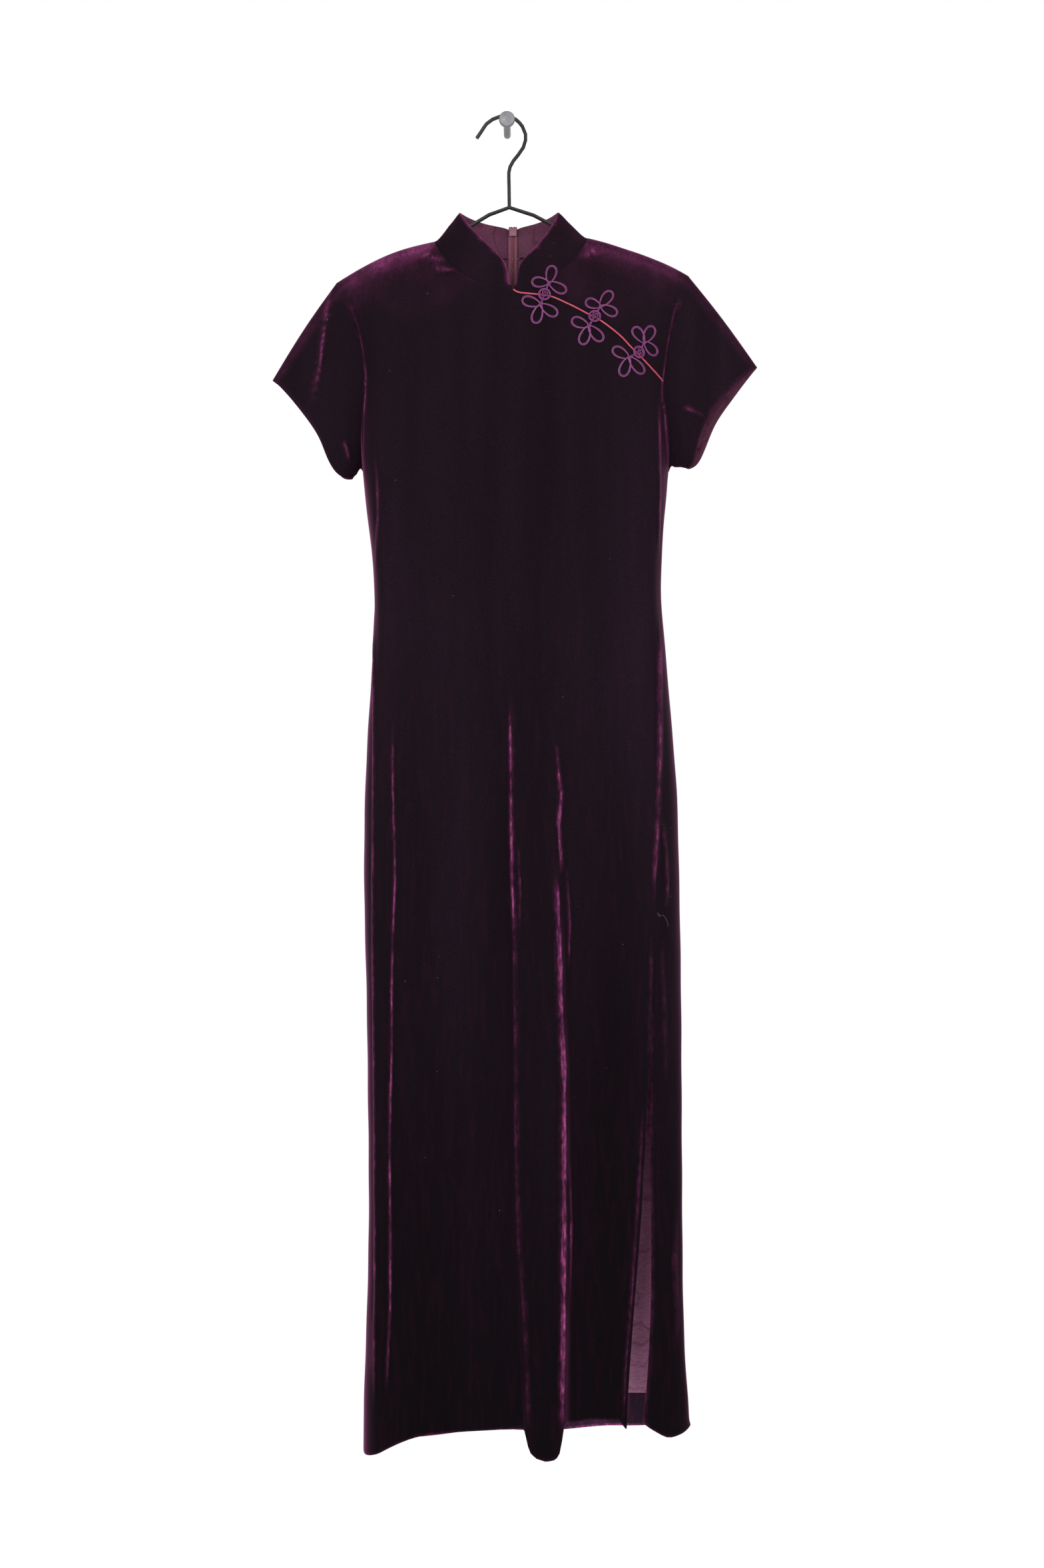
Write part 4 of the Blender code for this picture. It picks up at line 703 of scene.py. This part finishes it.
def applied(made):
    """Turns an object's modifiers into its mesh."""
    bpy.context.view_layer.update()
    graph = bpy.context.evaluated_depsgraph_get()
    mesh = bpy.data.meshes.new_from_object(made.evaluated_get(graph))
    made.modifiers.clear()
    made.data = mesh
    return made


def refined(name, node, wall, levels=2, longest=9.0):
    """A finer, rounder and creased copy of a cloth node's outer face."""
    made = new_object(name, outer_sheet(node, wall))
    modifier = made.modifiers.new("Round", "SUBSURF")
    modifier.levels = levels
    modifier.render_levels = levels
    applied(made)
    bm = bmesh.new()
    bm.from_mesh(made.data)
    for _ in range(2):
        long_edges = [e for e in bm.edges if e.calc_length() > longest * MM]
        if long_edges:
            bmesh.ops.subdivide_edges(bm, edges=long_edges, cuts=1, use_grid_fill=True)
    bm.to_mesh(made.data)
    bm.free()
    if node in PANELS:
        denser_near_creases(made)
    if node == "front_panel":
        square_tongue(made.data)
    count = len(made.data.vertices)
    points = np.empty(count * 3)
    made.data.vertices.foreach_get("co", points)
    points = points.reshape(-1, 3) / MM
    # Painted sheen along creases, seams and shoulders, stored on the points
    painted_sheen = made.data.attributes.new("painted_sheen", "FLOAT", "POINT")
    painted_sheen.data.foreach_set("value", painted_sheen_at(points, node.startswith("collar")))
    points = pushed(points) * MM
    made.data.vertices.foreach_set("co", points.ravel())
    made.data.update()
    reach_into_seams(made)
    return made


# A crease up to this wide gets finer cells, down to FINE_CELL, as far out as NEAR_SPREAD widths
SHARP_WIDTH = 2.7
FINE_CELL = 1.5
NEAR_SPREAD = 1.7
NEAR_SHARE = 0.12
LEVEL_SHARE = 0.75


def denser_near_creases(made):
    """Splits the cloth across its sharp creases, so that their flanks come out crisp."""
    bm = bmesh.new()
    bm.from_mesh(made.data)
    for _ in range(2):
        edges = list(bm.edges)
        middles = np.array([(e.verts[0].co + e.verts[1].co) / 2 for e in edges]) / MM
        lengths = np.array([e.calc_length() for e in edges]) / MM
        level = np.array([abs(e.verts[0].co.z - e.verts[1].co.z) for e in edges]) / MM < LEVEL_SHARE * lengths
        x, y, z = middles.T
        near = np.zeros(len(edges), bool)
        for side, _, width, _, route in CREASES + SEAMS:
            if width <= SHARP_WIDTH:
                here = y < HANG_Y if side == "front" else y >= HANG_Y
                raised = crease_height(x, z, 1.0, NEAR_SPREAD * width, 0.0, route)
                near |= here & (np.abs(raised) > NEAR_SHARE)
        chosen = [edges[n] for n in np.nonzero(near & level & (lengths > FINE_CELL))[0]]
        if chosen:
            bmesh.ops.subdivide_edges(bm, edges=chosen, cuts=1, use_grid_fill=True)
    bm.to_mesh(made.data)
    bm.free()


SEAM_OVERLAP = 0.5
ZIP_OVERLAP = 0.8
ZIP_HALF = 3.0
ZIP_NECK_Z = -170


def reach_into_seams(made):
    """Moves a sheet's edges out by a little, so that neighbours meet and no light shows between."""
    bm = bmesh.new()
    bm.from_mesh(made.data)
    bm.normal_update()
    moves = {}
    for edge in bm.edges:
        if edge.is_boundary:
            face = edge.link_faces[0]
            middle = (edge.verts[0].co + edge.verts[1].co) / 2
            along = (edge.verts[1].co - edge.verts[0].co).normalized()
            out = middle - face.calc_center_median()
            out = (out - along * out.dot(along)).normalized()
            for vert in edge.verts:
                moves.setdefault(vert, []).append(out)
    for vert, outs in moves.items():
        out = sum(outs, Vector()) / len(outs)
        at_zip = abs(vert.co.x / MM - CENTRE_BACK_X) < ZIP_HALF and vert.co.y / MM > HANG_Y
        reach = ZIP_OVERLAP if at_zip and vert.co.z / MM > ZIP_NECK_Z else SEAM_OVERLAP
        vert.co += out * reach * MM
    bm.to_mesh(made.data)
    bm.free()


SLIT_EDGE = [
    (174.5, -893.5), (163, -985), (156.6, -1058), (151.4, -1146), (146.2, -1233), (138.8, -1321),
    (132.9, -1394), (131.4, -1470),
]
HEM_DEPTH = 14.0
RIM_ANGLE = math.radians(65)
SHARP_ANGLE = math.radians(60)


def turned_in(spot):
    """True where the velvet is folded to the inside: along the hem and the front's slit edge."""
    edge_z, edge_x = np.array([(z, x) for x, z in SLIT_EDGE[::-1]]).T
    beside_slit = abs(spot.x - np.interp(spot.z, edge_z, edge_x)) < HEM_DEPTH
    return spot.z < HEM_BAND_Z or (spot.z < SLIT_EDGE[0][1] and spot.y < HANG_Y and beside_slit)


def walled(made, thickness, outside, inside, rounding=0.5):
    """Gives a sheet its thickness, its two faces' finishes and a rounded rim."""
    mesh = made.data
    mesh.materials.clear()
    mesh.materials.append(outside)
    mesh.materials.append(inside)
    mesh.materials.append(VELVET_TURNED_PAINTED_LIGHTER)
    solidify = made.modifiers.new("Thickness", "SOLIDIFY")
    solidify.thickness = thickness * MM
    solidify.offset = -1.0
    solidify.material_offset = 1
    bevel = made.modifiers.new("Rim", "BEVEL")
    bevel.limit_method = "ANGLE"
    bevel.angle_limit = RIM_ANGLE
    bevel.width = rounding * MM
    bevel.segments = 2
    applied(made)
    # Turned-in faces take the velvet copy painted lighter
    for face in made.data.polygons:
        if face.material_index == 1 and outside is VELVET_PILE and turned_in(face.center / MM):
            face.material_index = 2
    made.data.shade_smooth()
    made.data.set_sharp_from_angle(angle=SHARP_ANGLE)
    return made


# Cloth nodes: the velvet panels, the linings and the zip tapes
PANELS = ["front_panel", "front_yoke", "back_left", "back_right", "sleeve_left", "sleeve_right",
          "collar_left", "collar_right"]
LININGS = ["lining_back_left", "lining_back_right", "lining_skirt", "lining_sleeve_right"]
TAPES = ["zip_tape_left", "zip_tape_right"]


# Share of the tapes' width that shows, how much thinner than the solids the shells are, and their rims
TAPE_SHOWS = 0.55
VELVET_SPARE = 0.4
LINING_SPARE = 0.3
TAPE_SPARE = 0.2
LINING_RIM = 0.25
TAPE_RIM = 0.2


def build_cloth():
    """Shells for all panels, linings and tapes. Returns the outer faces that trims lie on."""
    corners = []
    faces = []
    sheets = {node: refined("velvet_" + node, node, VELVET) for node in PANELS}
    paint_sheen_on_free_edges(sheets)
    for node in PANELS + LININGS + TAPES:
        if node in PANELS:
            made = sheets[node]
            start = len(corners)
            corners += [v.co.copy() for v in made.data.vertices]
            faces += [[start + n for n in p.vertices] for p in made.data.polygons]
            walled(made, VELVET - VELVET_SPARE, VELVET_PILE, MAUVE)
        elif node in LININGS:
            made = refined("satin_" + node, node, LINING)
            finish = SHEER_PAINTED_LIGHTER if node == "lining_skirt" else MAUVE
            walled(made, LINING - LINING_SPARE, finish, finish, LINING_RIM)
        else:
            made = refined("woven_" + node, node, LINING)
            for vert in made.data.vertices:
                aside = vert.co.x / MM - CENTRE_BACK_X
                vert.co.x = (CENTRE_BACK_X + aside * TAPE_SHOWS) * MM
            walled(made, LINING - TAPE_SPARE, TAPE, TAPE, TAPE_RIM)
        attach(made, "root")
        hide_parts(node)
    return BVHTree.FromPolygons(corners, faces)


SEAM_REACH = 0.8
LOOK_FROM_Y = -300


def surface_spot(tree, x, z, lift):
    """A point over the front's cloth at (x, z), and the cloth's normal there, also over a seam's gap."""
    for dx, dz in ((0, 0), (-SEAM_REACH, -SEAM_REACH), (SEAM_REACH, SEAM_REACH), (0, -2 * SEAM_REACH)):
        hit, normal, _, _ = tree.ray_cast(metres(x + dx, LOOK_FROM_Y, z + dz), Vector((0, 1, 0)))
        if hit:
            return metres(x, hit.y / MM, z) + normal * lift * MM, normal
    raise ValueError(f"no cloth at {x}, {z}")


def strands(name, paths, radius, material, node=None, resolution=3):
    """Round strands along lists of points, each (points, closed), as one piece."""
    data = bpy.data.curves.new(name, "CURVE")
    data.dimensions = "3D"
    data.bevel_depth = radius * MM
    data.bevel_resolution = resolution
    data.use_fill_caps = True
    for points, closed in paths:
        spline = data.splines.new("POLY")
        spline.points.add(len(points) - 1)
        spline.points.foreach_set("co", [c for p in points for c in (*p, 1.0)])
        spline.use_cyclic_u = closed
        spline.use_smooth = True
    data.materials.append(material)
    made = bpy.data.objects.new(name, data)
    SCENE.collection.objects.link(made)
    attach(made, "root")
    if node:
        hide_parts(node)
    return made


def through(points, step):
    """A smooth path through points, with a point about every step, in their own unit."""
    path = []
    count = len(points)
    for n in range(count - 1):
        p0, p1, p2, p3 = (points[min(max(n + k, 0), count - 1)] for k in (-1, 0, 1, 2))
        pieces = max(1, round((p2 - p1).length / step))
        for k in range(pieces):
            t = k / pieces
            path.append(0.5 * (
                2 * p1 + (p2 - p0) * t + (2 * p0 - 5 * p1 + 4 * p2 - p3) * t**2
                + (3 * p1 - p0 - 3 * p2 + p3) * t**3
            ))
    path.append(points[-1].copy())
    return path


PLACKET = [
    (7.2, -196.3), (13.9, -199.7), (31.0, -201.6), (49.5, -204.3), (70.2, -213.6), (90.1, -224.0),
    (105.7, -232.8), (125.6, -248.7), (137.5, -261.0), (150.9, -273.6), (162.3, -284.1), (175.2, -296.0),
]
PIPING_R = 0.9
PIPING_SUNK = 0.9
PIPING_STEP = 2.5


def build_piping(tree):
    route = through([Vector((x, 0, z)) for x, z in PLACKET], PIPING_STEP)
    spots = [surface_spot(tree, p.x, p.z, PIPING_R * PIPING_SUNK)[0] for p in route[:-1]]
    strands("rose_piping", [(spots, False)], PIPING_R, PIPE, "placket_piping")


# Each half of a fastening: places of its knot and flower, and angle and length of each petal
FLOWERS = [
    {"name": "frog_1_loop", "knot": (41.7, -202.6), "centre": (46.5, -188.8),
     "petals": [(77, 22.5), (175, 19.5), (-26, 22.5)]},
    {"name": "frog_1_knot", "knot": (41.7, -202.6), "centre": (37.4, -214.0),
     "petals": [(162, 22.0), (-107, 22.5), (-31, 22.5)]},
    {"name": "frog_2_loop", "knot": (97.5, -227.7), "centre": (104.2, -215.4),
     "petals": [(158, 18.5), (56, 23.0), (-25, 21.0)]},
    {"name": "frog_2_knot", "knot": (97.5, -227.7), "centre": (90.8, -238.5),
     "petals": [(157, 21.0), (-111, 22.5), (-46, 23.0)]},
    {"name": "frog_3_loop", "knot": (145.6, -267.0), "centre": (152.2, -255.0),
     "petals": [(124, 20.5), (60, 22.5), (-38, 19.5)]},
    {"name": "frog_3_knot", "knot": (145.6, -267.0), "centre": (135.1, -273.5),
     "petals": [(150, 21.0), (-110, 23.0), (-44, 24.0)]},
]
STRAND_R = 0.55
STRAND_APART = 1.25
PETAL_W = 14.4
RING_R = 6.0
RING_RISE = 3.2
RING_POINTS = 40
PETAL_POINTS = 40
# A petal's width at its foot and what is added at its tip, as shares of PETAL_W
PETAL_FOOT = 0.62
PETAL_SWELL = 0.52
# Each petal starts higher than the one before
PETAL_RISE = 0.5
NEXT_RISE = 0.7
# The wound knots: their rings, rise and sizes
KNOT_POINTS = 72
KNOT_REACH = 1.9
KNOT_SWING = 1.05
KNOT_RISE = 1.2
FLOWER_KNOT = 0.72
FLOWER_KNOT_LIFT = 1.6
BALL_KNOT = 1.15
BALL_RISE = 1.2
FOOT_REACH = 4.0


def petal(tree, centre, angle, length, inset, rise):
    """One strand of a petal, a drop-shaped loop that starts and ends at the flower's centre."""
    cos, sin = math.cos(math.radians(angle)), math.sin(math.radians(angle))
    path = []
    for n in range(PETAL_POINTS):
        turn = math.tau * n / PETAL_POINTS
        share = (1 - math.cos(turn)) / 2
        along = (length - inset) * share
        across = (PETAL_W / 2 - inset) * math.sin(turn) * (PETAL_FOOT + PETAL_SWELL * share)
        x = centre[0] + along * cos - across * sin
        z = centre[1] + along * sin + across * cos
        lift = STRAND_R + rise * (1 - share) ** 2
        path.append(surface_spot(tree, x, z, lift)[0])
    return path


def knot_path(middle, up, scale):
    """A small button knot: a trefoil that winds over and under itself."""
    side = up.orthogonal().normalized()
    other = up.cross(side)
    path = []
    for n in range(KNOT_POINTS):
        t = math.tau * n / KNOT_POINTS
        reach = (KNOT_REACH + KNOT_SWING * math.cos(3 * t)) * scale
        spot = side * reach * math.cos(2 * t) + other * reach * math.sin(2 * t)
        path.append(middle + (spot + up * KNOT_RISE * scale * math.sin(3 * t)) * MM)
    return path


def build_frogs(tree):
    """The fastenings: flowers of doubled cord, a ring for each loop and a ball for each knot."""
    for flower in FLOWERS:
        paths = []
        centre = flower["centre"]
        for n, (angle, length) in enumerate(flower["petals"]):
            rise = PETAL_RISE + NEXT_RISE * n
            for inset in (STRAND_R, STRAND_R + STRAND_APART):
                paths.append((petal(tree, centre, angle, length, inset, rise), True))
        middle, up = surface_spot(tree, *centre, FLOWER_KNOT_LIFT)
        knot, knot_up = surface_spot(tree, *flower["knot"], 0.0)
        paths.append((knot_path(middle, up, FLOWER_KNOT), True))
        away = middle - knot
        away = (away - knot_up * away.dot(knot_up)).normalized()
        side = knot_up.cross(away)
        if flower["name"].endswith("loop"):
            for reach in (RING_R - STRAND_APART / 2, RING_R + STRAND_APART / 2):
                ring = []
                for n in range(RING_POINTS):
                    angle = math.tau * n / RING_POINTS
                    around = math.cos(angle) * away + math.sin(angle) * side
                    ring.append(knot + (knot_up * RING_RISE + around * reach) * MM)
                paths.append((ring, True))
            for sign in (-0.5, 0.5):
                aside = side * sign * STRAND_APART
                start = knot + (away * RING_R + knot_up * RING_RISE + aside) * MM
                paths.append(([start, start.lerp(middle, 0.5), middle + aside * MM], False))
        else:
            ball = knot + knot_up * (RING_RISE + BALL_RISE) * MM
            paths.append((knot_path(ball, knot_up, BALL_KNOT), True))
            for sign in (-0.5, 0.5):
                aside = side * sign * STRAND_APART
                foot = knot + (away * FOOT_REACH + knot_up * STRAND_R + aside) * MM
                paths.append(([ball, foot, middle + aside * MM], False))
        strands("corded_" + flower["name"], paths, STRAND_R, CORD, flower["name"])


ZIP_TOP = -122.0
ZIP_END = -600.0
TOOTH_STEP = 1.15
TOOTH_BACK = 0.45
# Bends of one tooth, from the zip's middle
TOOTH = [(-1.7, 0.0, 0.0), (-0.4, -0.5, 0.0), (0.9, -0.35, -0.3), (1.0, 0.0, -0.7)]
TAPE_MIDDLE = 3.0
STITCH_X = 5.2
STITCH_BACK = 0.35
STITCH_LENGTH = 2.1
COIL_R = 0.5
STITCH_R = 0.16


def build_zip():
    """Coil teeth between the tapes, and the rows of stitches that hold the tapes."""
    tape = bpy.data.objects["woven_zip_tape_left"]
    tree = BVHTree.FromObject(tape, bpy.context.evaluated_depsgraph_get())
    teeth = []
    stitches = []
    z = ZIP_TOP
    while z > ZIP_END:
        hit = tree.ray_cast(metres(CENTRE_BACK_X - TAPE_MIDDLE, HANG_Y, z), Vector((0, 1, 0)))[0]
        if hit:
            y = hit.y / MM - TOOTH_BACK
            sign = 1 if len(teeth) % 2 else -1
            bends = [metres(CENTRE_BACK_X + dx * sign, y + dy, z + dz) for dx, dy, dz in TOOTH]
            teeth.append((bends, False))
            if len(teeth) % 2:
                for side in (-STITCH_X, STITCH_X):
                    foot = metres(CENTRE_BACK_X + side, y + STITCH_BACK, z)
                    stitches.append(([foot, foot + metres(0, 0, -STITCH_LENGTH)], False))
        z -= TOOTH_STEP
    strands("zip_coil", teeth, COIL_R, TAPE, resolution=1)
    strands("zip_stitches", stitches, STITCH_R, THREAD, resolution=1)


THREADS_X = 4
THREAD_LIFT = 0.1
THREAD_STEP = 0.8
THREAD_R = 0.14
# Bends of each loose end, from its start
LOOSE_ENDS = [
    [(-4.0, -1.6, 2.2), (-8.0, -1.8, 2.6), (-11.0, -1.0, -0.6)],
    [(-2.0, -1.2, 3.0), (-5.0, -1.6, 5.5), (-3.6, -1.4, 7.4)],
    [(3.0, -1.4, 1.4), (6.0, -1.8, -2.5), (8.5, -1.4, -8.0), (8.0, -1.2, -11.0)],
]


def build_threads(tree):
    """Loose thread ends at the top of the slit."""
    x, z = SLIT_EDGE[0]
    ends = []
    for bends in LOOSE_ENDS:
        start, _ = surface_spot(tree, x - THREADS_X, z, THREAD_LIFT)
        spots = [start] + [start + metres(dx, dy, dz) for dx, dy, dz in bends]
        ends.append((through(spots, THREAD_STEP * MM), False))
    strands("loose_threads", ends, THREAD_R, THREAD, resolution=1)


def finish_hardware():
    """The nodes whose shape stays: hanger, peg, slider and pull tab."""
    finishes = {"hanger": WIRE, "wall_peg": PEG_PAINT, "zip_slider": ZIP_METAL, "zip_pull": ZIP_METAL}
    for node, material in finishes.items():
        for slot in NODES[node].material_slots:
            slot.material = material


FLOOR_SHADE = 0.85
FLOOR_ROUGHNESS = 0.9
# The world lights the dress less brightly than it is seen behind it
WORLD_LIGHT = 0.62
WORLD_SEEN = 1.0
LIGHTS_AIM_Z = -750
# Name, place, size in millimetres, and power in watts
LIGHTS = [
    ("key", (-900, -2600, 500), 1400.0, 34.0),
    ("fill", (1300, -2200, -500), 1600.0, 16.0),
    ("back_left", (-1800, 1400, 200), 1500.0, 16.0),
    ("back_right", (1800, 1500, 0), 1500.0, 16.0),
]


def light_room():
    """A pale floor, a white world and four soft lights."""
    floor = bmesh.new()
    bmesh.ops.create_grid(floor, x_segments=2, y_segments=2, size=FLOOR_HALF * MM)
    bmesh.ops.translate(floor, vec=metres(0, 0, FLOOR_Z), verts=floor.verts)
    floor = new_object("floor", floor)
    pale = bpy.data.materials.new("pale_floor")
    pale.use_nodes = True
    shader = pale.node_tree.nodes["Principled BSDF"]
    shader.inputs["Base Color"].default_value = (*grey(FLOOR_SHADE), 1.0)
    shader.inputs["Roughness"].default_value = FLOOR_ROUGHNESS
    floor.data.materials.append(pale)
    world = bpy.data.worlds.new("white")
    SCENE.world = world
    world.use_nodes = True
    tree = world.node_tree
    background = tree.nodes["Background"]
    seen = tree.nodes.new("ShaderNodeLightPath").outputs["Is Camera Ray"]
    strength = tree.nodes.new("ShaderNodeMapRange")
    strength.inputs["To Min"].default_value = WORLD_LIGHT
    strength.inputs["To Max"].default_value = WORLD_SEEN
    tree.links.new(seen, strength.inputs["Value"])
    tree.links.new(strength.outputs["Result"], background.inputs["Strength"])
    background.inputs["Color"].default_value = (1, 1, 1, 1)
    for name, place, size, power in LIGHTS:
        data = bpy.data.lights.new(name, "AREA")
        data.size = size * MM
        data.energy = power
        lamp = bpy.data.objects.new(name, data)
        lamp.location = metres(*place)
        aim = metres(0, HANG_Y, LIGHTS_AIM_Z) - lamp.location
        lamp.rotation_euler = aim.to_track_quat("-Z", "Y").to_euler()
        SCENE.collection.objects.link(lamp)
    SCENE.view_settings.view_transform = "Standard"


make_camera()
light_room()
front = build_cloth()
build_piping(front)
build_frogs(front)
build_zip()
build_threads(front)
finish_hardware()
